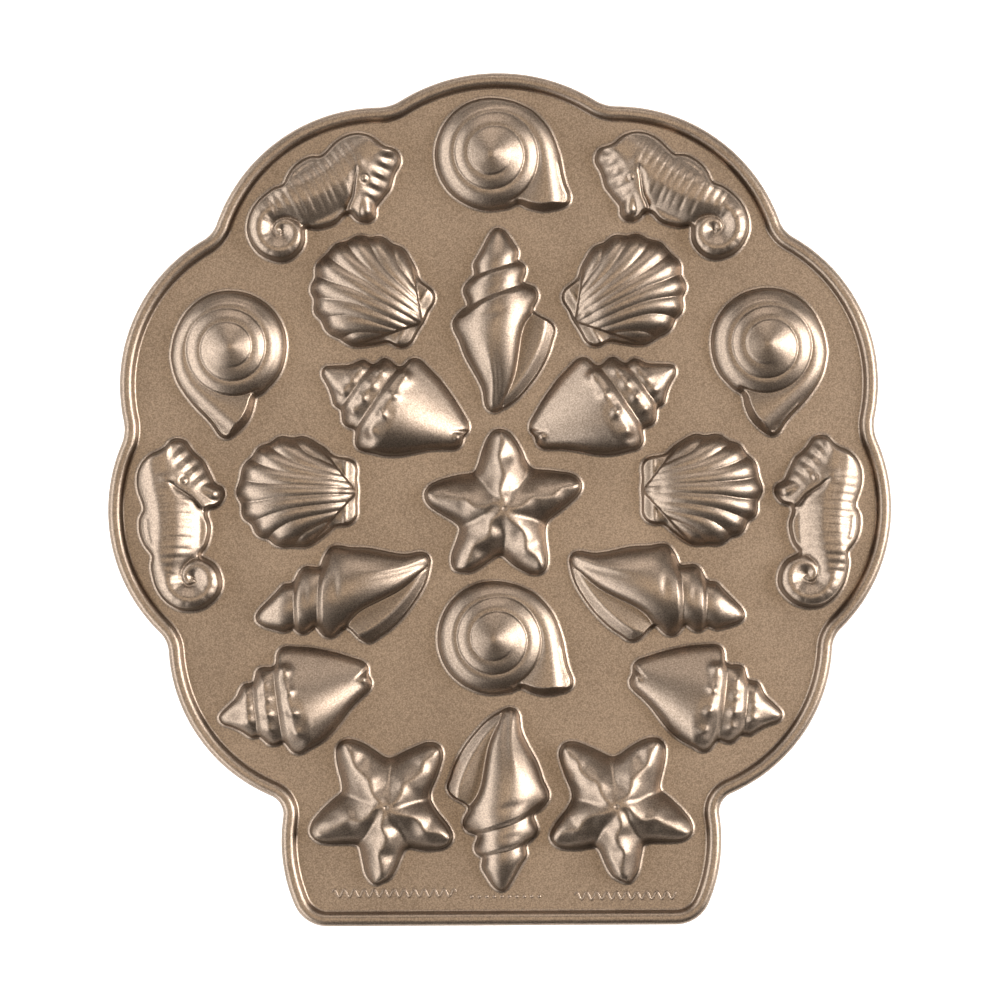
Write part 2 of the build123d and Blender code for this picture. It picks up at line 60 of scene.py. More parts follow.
OUTLINES = {
    "snail": [
        (7.02, -18.28), (9.94, -19.25), (13.56, -20.48), (17.19, -20.95), (20.95, -20.51), (24.66, -19.53), (27.22, -17.89), (27.88, -15.22),
        (26.72, -11.93), (25.44, -8.12), (24.62, -4.38), (23.88, -0.54), (22.77, 3.30), (21.43, 7.02), (19.80, 10.59), (17.64, 13.76),
        (15.08, 16.57), (12.31, 19.01), (9.05, 20.75), (5.52, 22.23), (1.75, 23.17), (-2.09, 23.73), (-5.95, 23.67), (-9.65, 22.98),
        (-13.29, 21.65), (-16.53, 19.76), (-19.48, 17.24), (-21.88, 14.36), (-23.80, 11.02), (-25.20, 7.44), (-25.94, 3.71), (-26.02, -0.10),
        (-25.46, -3.88), (-24.26, -7.49), (-22.43, -10.89), (-20.12, -13.80), (-17.27, -16.30), (-13.97, -18.30), (-10.38, -19.81), (-6.74, -20.71),
        (-2.97, -20.80), (0.81, -20.29), (4.54, -19.32),
    ],
    "scallop": [
        (-1.85, 21.44), (-4.99, 21.90), (-8.41, 21.26), (-10.86, 19.44), (-13.47, 18.54), (-16.23, 16.75), (-18.01, 13.96), (-19.90, 12.13),
        (-21.87, 9.51), (-22.53, 6.34), (-23.14, 3.71), (-24.10, 0.64), (-23.60, -2.62), (-22.21, -5.14), (-22.09, -8.29), (-20.66, -11.32),
        (-18.42, -12.89), (-16.94, -15.77), (-14.68, -18.15), (-11.70, -18.99), (-9.10, -20.90), (-5.96, -22.03), (-2.41, -21.84), (0.45, -21.95),
        (3.66, -21.79), (6.96, -20.28), (10.10, -17.97), (13.12, -15.46), (15.73, -13.45), (19.20, -13.16), (22.15, -11.91), (23.73, -9.40),
        (23.87, -5.65), (23.94, -1.86), (24.02, 1.54), (23.59, 5.01), (23.82, 8.69), (22.81, 11.69), (20.23, 13.32), (16.73, 13.74),
        (13.89, 14.71), (11.22, 17.16), (7.86, 19.37), (4.58, 21.27), (1.17, 22.00),
    ],
    "star": [
        (-1.36, 31.00), (-4.16, 30.02), (-6.17, 27.34), (-7.70, 23.77), (-8.84, 20.00), (-10.00, 16.27), (-11.62, 13.74), (-14.89, 12.94),
        (-18.86, 12.26), (-22.73, 11.26), (-26.43, 9.95), (-29.46, 8.14), (-31.06, 5.57), (-30.72, 2.60), (-28.73, -0.09), (-25.63, -2.22),
        (-22.12, -4.27), (-18.83, -6.33), (-17.04, -8.58), (-17.61, -11.62), (-18.90, -15.38), (-20.09, -18.99), (-20.17, -22.53), (-19.16, -24.94),
        (-16.27, -25.79), (-13.01, -25.89), (-9.70, -24.52), (-6.43, -22.30), (-3.31, -19.95), (-0.66, -19.13), (1.95, -20.75), (4.83, -23.16),
        (8.22, -25.09), (11.67, -26.48), (14.84, -26.41), (17.19, -24.72), (18.02, -21.66), (17.85, -17.86), (17.28, -13.88), (17.00, -10.00),
        (17.54, -6.58), (19.54, -3.99), (22.70, -1.61), (25.86, 0.93), (28.77, 3.57), (31.01, 6.38), (31.47, 9.27), (29.92, 11.85),
        (27.04, 13.43), (23.30, 14.06), (19.28, 14.52), (15.24, 14.80), (11.88, 15.37), (9.67, 17.57), (8.09, 20.98), (6.28, 24.55),
        (4.17, 27.75), (1.64, 30.16),
    ],
    "whelk": [
        (6.23, 25.58), (6.46, 28.40), (5.22, 31.58), (3.06, 34.88), (0.71, 37.56), (-1.85, 38.40), (-4.15, 36.79), (-6.12, 33.63),
        (-7.99, 30.05), (-9.99, 26.50), (-11.32, 23.29), (-10.92, 20.65), (-11.81, 18.87), (-14.33, 16.32), (-15.41, 13.51), (-14.43, 10.51),
        (-13.86, 7.74), (-15.58, 6.08), (-18.31, 3.45), (-19.71, 0.60), (-19.14, -2.40), (-17.43, -5.73), (-16.10, -9.49), (-14.64, -13.18),
        (-12.74, -16.66), (-10.74, -20.15), (-8.91, -23.70), (-7.72, -27.23), (-7.27, -30.97), (-6.03, -33.73), (-3.52, -34.82), (-0.47, -33.81),
        (2.91, -31.89), (5.93, -29.51), (8.66, -26.68), (11.19, -23.61), (13.57, -20.38), (15.66, -17.01), (17.48, -13.47), (18.96, -9.83),
        (20.03, -6.10), (20.95, -2.66), (19.97, -0.02), (17.15, 2.16), (13.77, 3.89), (12.32, 5.41), (13.31, 8.50), (14.27, 11.80),
        (13.19, 14.30), (10.39, 15.80), (8.41, 16.83), (9.05, 19.60), (9.30, 22.65), (7.64, 24.56),
    ],
    "conch": [
        (-9.78, 17.00), (-12.34, 18.52), (-15.08, 18.27), (-18.13, 16.92), (-21.92, 16.58), (-25.89, 16.45), (-28.71, 15.71), (-29.54, 13.37),
        (-28.44, 10.80), (-26.72, 7.46), (-25.55, 3.92), (-24.47, 0.94), (-22.18, -0.80), (-21.69, -2.53), (-21.28, -5.63), (-19.25, -7.63),
        (-16.42, -9.00), (-16.20, -11.19), (-16.22, -14.49), (-14.67, -16.64), (-11.31, -17.60), (-7.39, -18.58), (-3.54, -19.17), (0.35, -19.19),
        (4.27, -18.68), (8.20, -17.89), (12.10, -17.12), (16.03, -16.74), (19.96, -16.68), (23.50, -16.44), (25.79, -14.73), (26.72, -11.86),
        (28.43, -9.70), (28.73, -7.03), (27.17, -3.74), (25.12, -0.25), (23.00, 3.17), (20.66, 6.52), (18.25, 9.81), (15.66, 12.80),
        (12.89, 15.59), (10.18, 18.27), (7.53, 19.39), (4.82, 18.41), (2.37, 16.30), (0.24, 16.37), (-2.44, 18.55), (-5.04, 19.29),
        (-7.55, 17.69),
    ],
    "seahorse": [
        (11.55, 6.35), (14.49, 7.54), (16.96, 9.76), (17.86, 12.54), (16.78, 15.10), (14.22, 16.50), (12.82, 18.91), (11.23, 22.28),
        (9.61, 25.30), (6.92, 27.73), (4.38, 30.52), (2.37, 33.23), (-0.42, 34.30), (-3.39, 33.73), (-5.57, 31.44), (-7.59, 29.84),
        (-10.85, 28.41), (-13.71, 26.19), (-15.73, 23.26), (-16.78, 19.80), (-16.90, 16.13), (-16.15, 12.48), (-14.80, 8.80), (-14.33, 5.65),
        (-15.52, 3.24), (-16.07, -0.08), (-15.64, -3.75), (-14.37, -7.20), (-12.30, -10.20), (-10.80, -12.42), (-11.05, -15.78), (-10.65, -19.61),
        (-9.68, -23.34), (-8.11, -26.72), (-5.86, -29.72), (-3.00, -32.10), (0.22, -33.70), (3.80, -34.20), (7.49, -33.82), (10.76, -32.56),
        (13.69, -30.23), (15.99, -27.43), (17.07, -24.21), (16.81, -20.76), (15.45, -17.43), (13.18, -14.87), (10.12, -13.33), (8.68, -12.23),
        (10.05, -9.63), (11.59, -6.15), (12.29, -2.51), (11.95, 1.05), (10.92, 4.49),
    ],
}
MOULDS = [
    ("snail_mould_top", "snail", 1.14, 136.41, -0.64, False, 0.9997),
    ("snail_mould_left", "snail", -108.23, 57.56, 55.46, True, 0.9987),
    ("snail_mould_right", "snail", 108.23, 57.56, -55.46, False, 0.9987),
    ("snail_mould_lower", "snail", 1.22, -56.90, -1.08, False, 1.0029),
    ("seahorse_mould_upper_left", "seahorse", -69.93, 122.01, -63.77, False, 0.9999),
    ("seahorse_mould_upper_right", "seahorse", 69.93, 122.01, 63.77, True, 0.9999),
    ("seahorse_mould_left", "seahorse", -128.03, -9.54, -0.67, False, 1.0001),
    ("seahorse_mould_right", "seahorse", 128.03, -9.54, 0.67, True, 1.0001),
    ("scallop_mould_upper_left", "scallop", -51.21, 82.58, -29.77, False, 1.0005),
    ("scallop_mould_upper_right", "scallop", 51.21, 82.58, 29.77, True, 1.0005),
    ("scallop_mould_lower_left", "scallop", -80.82, 3.47, -0.70, False, 0.9990),
    ("scallop_mould_lower_right", "scallop", 80.82, 3.47, 0.70, True, 0.9990),
    ("whelk_mould_centre", "whelk", 1.49, 69.83, 0.10, False, 1.0009),
    ("whelk_mould_lower_left", "whelk", -60.32, -37.38, 107.51, True, 1.0012),
    ("whelk_mould_lower_right", "whelk", 60.32, -37.38, -107.51, False, 1.0012),
    ("whelk_mould_bottom", "whelk", -0.62, -118.06, 178.42, False, 0.9967),
    ("conch_mould_upper_left", "conch", -41.07, 36.95, -0.14, False, 1.0028),
    ("conch_mould_upper_right", "conch", 41.07, 36.95, 0.14, True, 1.0028),
    ("conch_mould_lower_left", "conch", -80.64, -78.92, 42.03, False, 0.9972),
    ("conch_mould_lower_right", "conch", 80.64, -78.92, -42.03, True, 0.9972),
    ("starfish_mould_centre", "star", 1.20, -3.11, -0.62, False, 1.0000),
    ("starfish_mould_bottom_left", "star", -46.75, -122.43, 30.29, False, 0.9923),
    ("starfish_mould_bottom_right", "star", 46.75, -122.43, -30.29, True, 0.9923),
]



# ---------------------------------------------------------------- curves
def closed_curve(points, step):
    """Smooth closed curve through points, with one point about every step."""
    P = np.array(points, float)
    n = len(P)
    Q = np.vstack([P, P[:1]])
    h = np.hypot(*np.diff(Q, axis=0).T)
    t = np.r_[0.0, np.cumsum(h)]
    A = np.zeros((n, n))
    for i in range(n):
        a, b = h[i - 1], h[i]
        A[i, i - 1] += a
        A[i, i] += 2 * (a + b)
        A[i, (i + 1) % n] += b
    # second derivatives of the periodic cubic spline
    rhs = np.array([6 * ((Q[i + 1] - Q[i]) / h[i] - (Q[i] - Q[i - 1 if i else n - 1]) / h[i - 1]) for i in range(n)])
    for i in range(n):
        A[i, i - 1], A[i, (i + 1) % n] = h[i - 1], h[i]
    M = np.linalg.solve(A, rhs)
    M = np.vstack([M, M[:1]])
    m = max(24, int(round(t[-1] / step)))
    # walk evenly along the curve
    u = np.linspace(0, t[-1], 8 * m, endpoint=False)
    i = np.clip(np.searchsorted(t, u, side="right") - 1, 0, n - 1)
    a, b, hh = (t[i + 1] - u)[:, None], (u - t[i])[:, None], h[i][:, None]
    X = M[i] * a**3 / (6 * hh) + M[i + 1] * b**3 / (6 * hh) + (Q[i] / hh - M[i] * hh / 6) * a + (Q[i + 1] / hh - M[i + 1] * hh / 6) * b
    s = np.r_[0.0, np.cumsum(np.hypot(*np.diff(np.vstack([X, X[:1]]), axis=0).T))]
    X = np.vstack([X, X[:1]])
    v = np.linspace(0, s[-1], m, endpoint=False)
    return np.c_[np.interp(v, s, X[:, 0]), np.interp(v, s, X[:, 1])]


def line(points, step=0.5):
    """Smooth open curve through points (Catmull-Rom), evenly stepped."""
    P = np.array(points, float)
    if len(P) == 2:
        P = np.vstack([P[0], P.mean(0), P[1]])
    Q = np.vstack([2 * P[0] - P[1], P, 2 * P[-1] - P[-2]])
    out = []
    for a, b, c, d in zip(Q, Q[1:], Q[2:], Q[3:]):
        for u in np.linspace(0, 1, 24, endpoint=False):
            out.append(0.5 * ((2 * b) + (c - a) * u + (2 * a - 5 * b + 4 * c - d) * u * u + (3 * b - 3 * c + d - a) * u**3))
    out = np.array(out + [P[-1]])
    s = np.r_[0.0, np.cumsum(np.hypot(*np.diff(out, axis=0).T))]
    v = np.linspace(0, s[-1], max(3, int(s[-1] / step) + 1))
    return np.c_[np.interp(v, s, out[:, 0]), np.interp(v, s, out[:, 1])]


def near(P, L, closed=False):
    """Distance to a polyline, share of the way along it, and side (+1 on its left)."""
    A = L
    B = np.roll(L, -1, 0) if closed else L[1:]
    A = L if closed else L[:-1]
    V = B - A
    LL = np.maximum((V**2).sum(1), 1e-12)
    dist = np.empty(len(P))
    along = np.empty(len(P))
    side = np.empty(len(P))
    for k in range(0, len(P), 3000):
        Q = P[k:k + 3000]
        W = Q[:, None, :] - A[None]
        t = np.clip((W * V[None]).sum(2) / LL[None], 0, 1)
        E = W - t[..., None] * V[None]
        d2 = (E**2).sum(2)
        j = d2.argmin(1)
        r = np.arange(len(Q))
        dist[k:k + 3000] = np.sqrt(d2[r, j])
        along[k:k + 3000] = (j + t[r, j]) / len(V)
        w, v = W[r, j], V[j]
        side[k:k + 3000] = np.sign(v[:, 0] * w[:, 1] - v[:, 1] * w[:, 0])
    return dist, along, side


def inside(P, L):
    """True for points inside the closed polyline L."""
    X, Y = L.T
    X2, Y2 = np.roll(X, -1), np.roll(Y, -1)
    out = np.zeros(len(P), bool)
    for k in range(0, len(P), 3000):
        px, py = P[k:k + 3000, :1], P[k:k + 3000, 1:]
        up = (Y[None] > py) != (Y2[None] > py)
        den = np.where(Y2 == Y, 1e-12, Y2 - Y)
        cross = px < (X2 - X)[None] * (py - Y[None]) / den[None] + X[None]
        out[k:k + 3000] = (up & cross).sum(1) % 2 == 1
    return out


def signed(P, L):
    """Distance to the closed outline L, positive inside it."""
    d = near(P, L, closed=True)[0]
    return np.where(inside(P, L), d, -d)


def smax(a, b, k):
    h = np.maximum(k - np.abs(a - b), 0) / k
    return np.maximum(a, b) + h * h * k * 0.25


def smin(a, b, k):
    return -smax(-np.asarray(a, float), -np.asarray(b, float), k)


def sstep(a, b, x):
    t = np.clip((x - a) / (b - a), 0, 1)
    return t * t * (3 - 2 * t)


def bell(x, w):
    return np.exp(-((x / w) ** 2))


# ---------------------------------------------------------------- inflated shape
class Puff:
    """A region blown up like a cushion: the height is a smooth dome over any outline."""

    def __init__(self, L, grow=1.0, cell=0.5):
        lo, hi = L.min(0) - grow - 3 * cell, L.max(0) + grow + 3 * cell
        nx, ny = (np.ceil((hi - lo) / cell).astype(int) + 1)
        gx, gy = lo[0] + cell * np.arange(nx), lo[1] + cell * np.arange(ny)
        X, Y = np.meshgrid(gx, gy, indexing="ij")
        d = signed(np.c_[X.ravel(), Y.ravel()], L).reshape(X.shape)
        # cells out to grow beyond the outline take part too, which keeps its border smooth
        m = d > -grow
        b = np.where(m, cell * cell * 2.0, 0.0)
        def lap(u):
            v = 4 * u
            v[1:] -= u[:-1]; v[:-1] -= u[1:]; v[:, 1:] -= u[:, :-1]; v[:, :-1] -= u[:, 1:]
            return np.where(m, v, 0.0)
        u = np.where(m, np.maximum(d + grow, 0) * 6.0, 0.0)
        r = b - lap(u)
        p = r.copy()
        rs = (r * r).sum()
        for _ in range(600):
            q = lap(p)
            a = rs / max((p * q).sum(), 1e-30)
            u += a * p
            r -= a * q
            new = (r * r).sum()
            if new < 1e-10 * b.size:
                break
            p = r + (new / rs) * p
            rs = new
        self.u, self.lo, self.cell = u, lo, cell
        self.top = math.sqrt(u.max())

    def __call__(self, P):
        """Height as a share of the highest point (a bicubic reading of the grid)."""
        F = (P - self.lo) / self.cell
        nx, ny = self.u.shape
        i = np.clip(np.floor(F).astype(int), 1, [nx - 3, ny - 3])
        f = F - i
        def w(t):
            return [(-t + 2 * t**2 - t**3) / 2, (2 - 5 * t**2 + 3 * t**3) / 2, (t + 4 * t**2 - 3 * t**3) / 2, (-t**2 + t**3) / 2]
        wx, wy = w(f[:, 0]), w(f[:, 1])
        s = 0.0
        for a in range(4):
            for b in range(4):
                s = s + wx[a] * wy[b] * self.u[i[:, 0] + a - 1, i[:, 1] + b - 1]
        return np.sqrt(np.maximum(s, 0)) / self.top


# ---------------------------------------------------------------- the six reliefs
# P are points of the cup's own frame, d their distance inside its outline
def relief_snail(puff, P, d):
    x, y = P.T
    v = P - [-3.2, 1.1]
    r = np.hypot(*v.T)
    turn = (np.degrees(np.arctan2(-v[:, 1], v[:, 0])) % 360) / 360     # clockwise from the right
    w = r / 5.57 - 1.25 - turn                                         # whole numbers lie on the spiral line
    m = np.round(w)
    u = (w - m) * 5.57                                                 # outwards from the nearest turn of it
    total = m + turn
    clear = sstep(0.0, 0.22, total) * (1 - sstep(2.13, 2.2, total)) * (1 - 0.8 * bell(total - 1.79, 0.10))
    c = np.hypot(x + 3.9, y - 1.3)
    z = 14.3 - 0.34 * (np.sqrt(c * c + 3.0) - 1.73) - 0.05 * (np.sqrt((c - 7) ** 2 + 4) + c - 7)
    step = np.where(u > 0, np.clip(1 - u / 2.785, 0, 1) ** 2, np.clip(1 + u / 0.55, 0, 1) ** 1.6)
    z = z - 0.42 * clear * step
    rho = w + turn
    z = z + 0.22 * np.sin(np.pi * (w - np.floor(w))) * sstep(0.2, 1.1, rho) * (1 - sstep(1.9, 2.25, rho))
    # outside the last turn of the line the body swells into a tube that ends in the mouth
    T = np.where(turn < 0.35, turn + 1, turn)
    past = r - 5.57 * (2.25 + T)
    axis = line([(-14.0, 18.2), (-7.0, 20.2), (0.5, 19.4), (7.0, 16.6), (12.2, 12.0), (15.5, 6.0), (17.1, -0.5), (18.0, -7.5), (18.8, -14.5), (19.4, -22.0)])
    e, t, side = near(P, axis)
    e = e * side
    crest = 7.3 - 0.35 * bell(t - 1.0, 0.3)
    west = 2.3 + 8.8 * sstep(0.58, 1.0, t)
    tube = crest - np.where(e > 0, (0.085 - 0.015 * sstep(0.6, 1.0, t)) * np.where(e < 6, e * e, 12 * e - 36), 1.35 * (np.abs(e) / west) ** 1.7)
    tube = tube + 0.45 * bell(d - 1.25, 0.32) * sstep(0.0, -4.0, y) * sstep(15, 20, x)
    lip = 1.5 + 2.1 * d + 25 * (1 - sstep(-13.6, -16.6, y))
    tube = smin(tube, lip, 0.9)
    mouth = sstep(0.05, 0.5, past) * sstep(0.70, 0.95, T) * (1 - sstep(1.168, 1.20, T))
    z = z * (1 - mouth) + tube * mouth
    return z - 2.7 * rolled(d, 4.4) * (1 - mouth)


def relief_scallop(puff, P, d):
    x, y = P.T
    grooves = [
        [(-4.0, 24.5), (-0.5, 19.9), (3.9, 15.4), (9.5, 12.8), (13.7, 10.9), (19.0, 8.8)],
        [(-14.0, 19.5), (-9.8, 16.9), (-3.5, 13.2), (3.9, 10.2), (15.0, 7.6), (20.0, 6.4)],
        [(-21.0, 14.2), (-16.9, 12.1), (-11.7, 9.8), (-3.9, 7.6), (3.9, 6.5), (18.4, 4.6), (22.0, 4.0)],
        [(-26.0, 5.2), (-22.1, 4.6), (-14.7, 3.5), (-3.5, 2.8), (7.6, 2.4), (24.5, 1.7)],
        [(-26.0, -5.0), (-22.1, -4.5), (-14.7, -3.7), (-7.2, -2.4), (0.2, -1.9), (11.3, -1.1), (24.5, -0.9)],
        [(-22.0, -14.4), (-18.0, -12.4), (-12.8, -10.2), (-5.4, -7.6), (2.1, -6.1), (11.3, -5.0), (18.8, -4.2), (22.0, -3.8)],
        [(-14.0, -22.5), (-11.3, -19.1), (-8.7, -15.8), (-3.5, -12.4), (3.9, -10.2), (11.3, -8.7), (16.2, -7.6), (20.0, -6.8)],
        [(-2.6, -25.0), (-0.5, -21.0), (2.1, -17.3), (5.8, -14.7), (11.3, -12.1), (14.7, -11.0), (19.0, -9.6)],
    ]
    ds, ss = [], []
    for g in grooves:
        a, t, s = near(P, line(g))
        ds.append(a)
        ss.append(s)
    ds, ss = np.array(ds), np.array(ss)
    above = (ss > 0).sum(0)                 # how many grooves lie below the point
    k = np.arange(len(P))
    up = np.clip(8 - above - 1, -1, 7)      # groove just above
    dn = up + 1                             # groove just below
    du = np.where(up >= 0, ds[np.clip(up, 0, 7), k], 7.0)
    dd = np.where(dn <= 7, ds[np.clip(dn, 0, 7), k], 7.0)
    frac = du / np.maximum(du + dd, 1e-6)
    half = (du + dd) / 2
    rib = np.maximum(np.sin(np.pi * np.clip(frac, 0, 1)), 0) ** 0.8
    amp = np.clip(0.27 * half, 0.12, 1.1) * (1 + 0.35 * sstep(0, -14, x))
    dome = 3.6 + 9.3 * puff[0](P) ** 1.3
    hinge = sstep(12, 24, x) * 0.9
    z = dome - hinge + amp * (rib - 0.6)
    # the ears beside the hinge
    upper = sstep(-0.2, 0.35, (x - 13.9) * 0.775 + (y - 12.1) * 0.632)
    lower = sstep(-0.2, 0.35, (x - 14.7) * 0.745 - (y + 10.2) * 0.667)
    ear = 5.6 - 0.16 * (np.sqrt((x - 19.8) ** 2 + 0.6) + (x - 19.8)) / 2
    ear = ear + 0.35 * bell(x - 19.2, 0.9)
    z = np.where(y > 0.35, z * (1 - upper) + smin(ear, z, 0.3) * upper, z * (1 - lower) + smin(ear, z, 0.3) * lower)
    z = z + 0.9 * bell(y - 0.3, 2.6) * sstep(16, 21, x)
    return z - 3.3 * rolled(d, 5.2) * (1 - 0.7 * sstep(12, 18, x))


def smooth_through(s, knots, values):
    """Smooth line through values at rising knots (Catmull-Rom), read at s."""
    k, v = np.array(knots, float), np.array(values, float)
    m = np.gradient(v, k)
    i = np.clip(np.searchsorted(k, s, side="right") - 1, 0, len(k) - 2)
    h = k[i + 1] - k[i]
    t = np.clip((s - k[i]) / h, 0, 1)
    return (2 * t**3 - 3 * t**2 + 1) * v[i] + (t**3 - 2 * t**2 + t) * h * m[i] + (3 * t**2 - 2 * t**3) * v[i + 1] + (t**3 - t**2) * h * m[i + 1]


def relief_star(puff, P, d):
    # each arm: direction from the centre, and how far its ridge wanders to the left of that line
    arms = [
        (91.5, [0, 4, 7, 10, 13, 16.5, 20.5, 25.5, 31, 40], [0, 0.9, 1.7, 0.9, 0.0, 0.7, 1.8, 0.6, 0.4, 0.4]),
        (16.5, [0, 4, 8, 12, 16, 20, 24, 28, 33, 42], [0, -1.1, -0.7, 0.9, -0.1, -0.5, 1.1, 0.6, 0.4, 0.4]),
        (-58.0, [0, 4, 8, 12, 15, 18, 22, 26, 31, 40], [0, -0.3, 0.7, 1.5, 0.7, -0.9, 0.2, 0.6, 0.2, 0.2]),
        (-124.5, [0, 4, 8, 12, 15, 19, 23, 27, 31, 40], [0, -0.7, -1.2, 0.6, 0.4, -1.5, -0.7, 0.1, 0.0, 0.0]),
        (171.5, [0, 4, 8, 12, 16, 20, 24, 28, 33, 42], [0, -1.5, 0.2, 1.0, -0.9, -0.7, -0.4, -0.2, 0.0, 0.0]),
    ]
    v = P - [0.8, -0.5]
    c = np.hypot(*v.T)
    z = None
    for i, (deg, ks, fs) in enumerate(arms):
        ca, sa = math.cos(math.radians(deg)), math.sin(math.radians(deg))
        a = v[:, 0] * ca + v[:, 1] * sa
        l = -v[:, 0] * sa + v[:, 1] * ca
        q = np.abs(l - 1.1 * smooth_through(np.clip(a, 0, 42), ks, fs) * np.exp(-(l / 4.6) ** 2))
        far = np.clip(a, 0, 42)
        crest = 13.6 - 5.4 * (far / 32) ** 1.25 - 0.8 * bell(far, 2.6) - 0.45 * np.maximum(-a, 0)
        drop = 0.30 * (np.sqrt(q * q + 0.9) - 0.95) + 0.051 * q * q - 0.0011 * np.minimum(q, 14) ** 3
        wave = 0.10 * np.sin(0.55 * far + 0.55 * l + 2.1 * i) * bell(q - 4.2, 3.2)
        arm = crest - drop + wave * sstep(3.0, 9.0, a)
        z = arm if z is None else smax(z, arm, 1.2)
    return z - 0.7 * bell(c, 1.0) - 3.0 * rolled(d, 3.9)


def cone(P, tip, left, right, rise, lean=0.0):
    """Height above the foot of a rounded cone lying down: tip, one point on each of its sides, rise along its crest."""
    v = P - np.array(tip)
    ang = lambda p: math.atan2(p[1] - tip[1], p[0] - tip[0])
    a, b = ang(left), ang(right)
    if a - b > math.pi:
        b += 2 * math.pi
    if b - a > math.pi:
        a += 2 * math.pi
    mid, half = (a + b) / 2, abs(a - b) / 2
    th = np.arctan2(v[:, 1], v[:, 0])
    u = ((th - mid + math.pi) % (2 * math.pi) - math.pi) / half
    u = np.clip(u, -1, 1)
    u = u - lean * (1 - u * u)
    return rise * np.hypot(*v.T) * np.maximum(1 - u * u, 0) ** 0.85


def saw(P, L, depth, north, south):
    """A seam between two whorls: gentle down to it on its left, a steep short rise on its right."""
    a, t, side = near(P, L)
    return depth * np.where(side > 0, np.clip(1 - a / north, 0, 1) ** 2, np.clip(1 - a / south, 0, 1) ** 1.35)


def relief_whelk(puff, P, d):
    x, y = P.T
    z = 3.3 + 11.3 * puff[1](P) ** 1.45
    s1 = line([(-14.5, 18.0), (-10.2, 19.6), (-5.5, 21.4), (-0.4, 22.9), (3.7, 24.1), (9.5, 25.8)])
    s2 = line([(-16.5, 4.6), (-12.7, 7.2), (-8.6, 9.8), (-3.5, 12.0), (1.6, 13.7), (6.8, 15.4), (12.5, 17.0)])
    z = z - saw(P, s1, 1.3, 6.5, 1.9) - saw(P, s2, 1.6, 7.0, 2.3)
    # soft dents below the two seams, where the whorl turns over
    for kx, ky, h in ((-4.6, 16.4, 0.30), (-4.4, 4.2, 0.42)):
        p, r = (x - kx) * 0.96 + (y - ky) * 0.28, -(x - kx) * 0.28 + (y - ky) * 0.96
        z = z - h * np.exp(-(p / 4.6) ** 2 - (r / 1.7) ** 2)
    # long folds down the body
    a1, t1, side1 = near(P, line([(-2.2, 0.5), (-2.8, -6.0), (-2.6, -14.0), (-2.1, -21.0), (-1.8, -32.0)]))
    z = z - 0.30 * sstep(0.10, 0.7, t1) * bell(a1, 1.2)
    a1, t1, side1 = near(P, line([(-7.4, -4.0), (-5.8, -11.4), (-4.6, -17.6), (-4.0, -24.0), (-4.6, -34.0)]))
    z = z + 0.40 * sstep(0.0, 0.5, t1) * bell(a1, 1.6)
    # the flap beside the mouth
    crease = line([(14.0, 6.4), (10.9, 4.0), (8.6, 0.9), (6.9, -3.6), (6.0, -9.0), (5.3, -14.0), (4.2, -19.8), (2.1, -26.0), (0.4, -30.0), (-0.6, -34.0)])
    a, t, side = near(P, crease)
    s = a * side
    z = z - 1.3 * rolled(np.maximum(-s, 0), 2.6) * sstep(8.5, 2.5, y)
    edge = near(P, line([(20.9, 0.5), (21.0, -3.0), (19.7, -8.0), (17.2, -13.6), (14.2, -18.6), (10.6, -23.6), (6.2, -28.6), (1.5, -32.8)]))[0]
    flap = smin(5.2 + 0.17 * np.clip(s, 0, 20), 3.3 + 0.78 * np.clip(edge - 0.2, 0, 20), 1.0)
    on = sstep(-0.1, 0.8, s) * sstep(8.5, 5.0, y)
    return z * (1 - on) + flap * on - 1.8 * rolled(d, 3.0) * (1 - on)


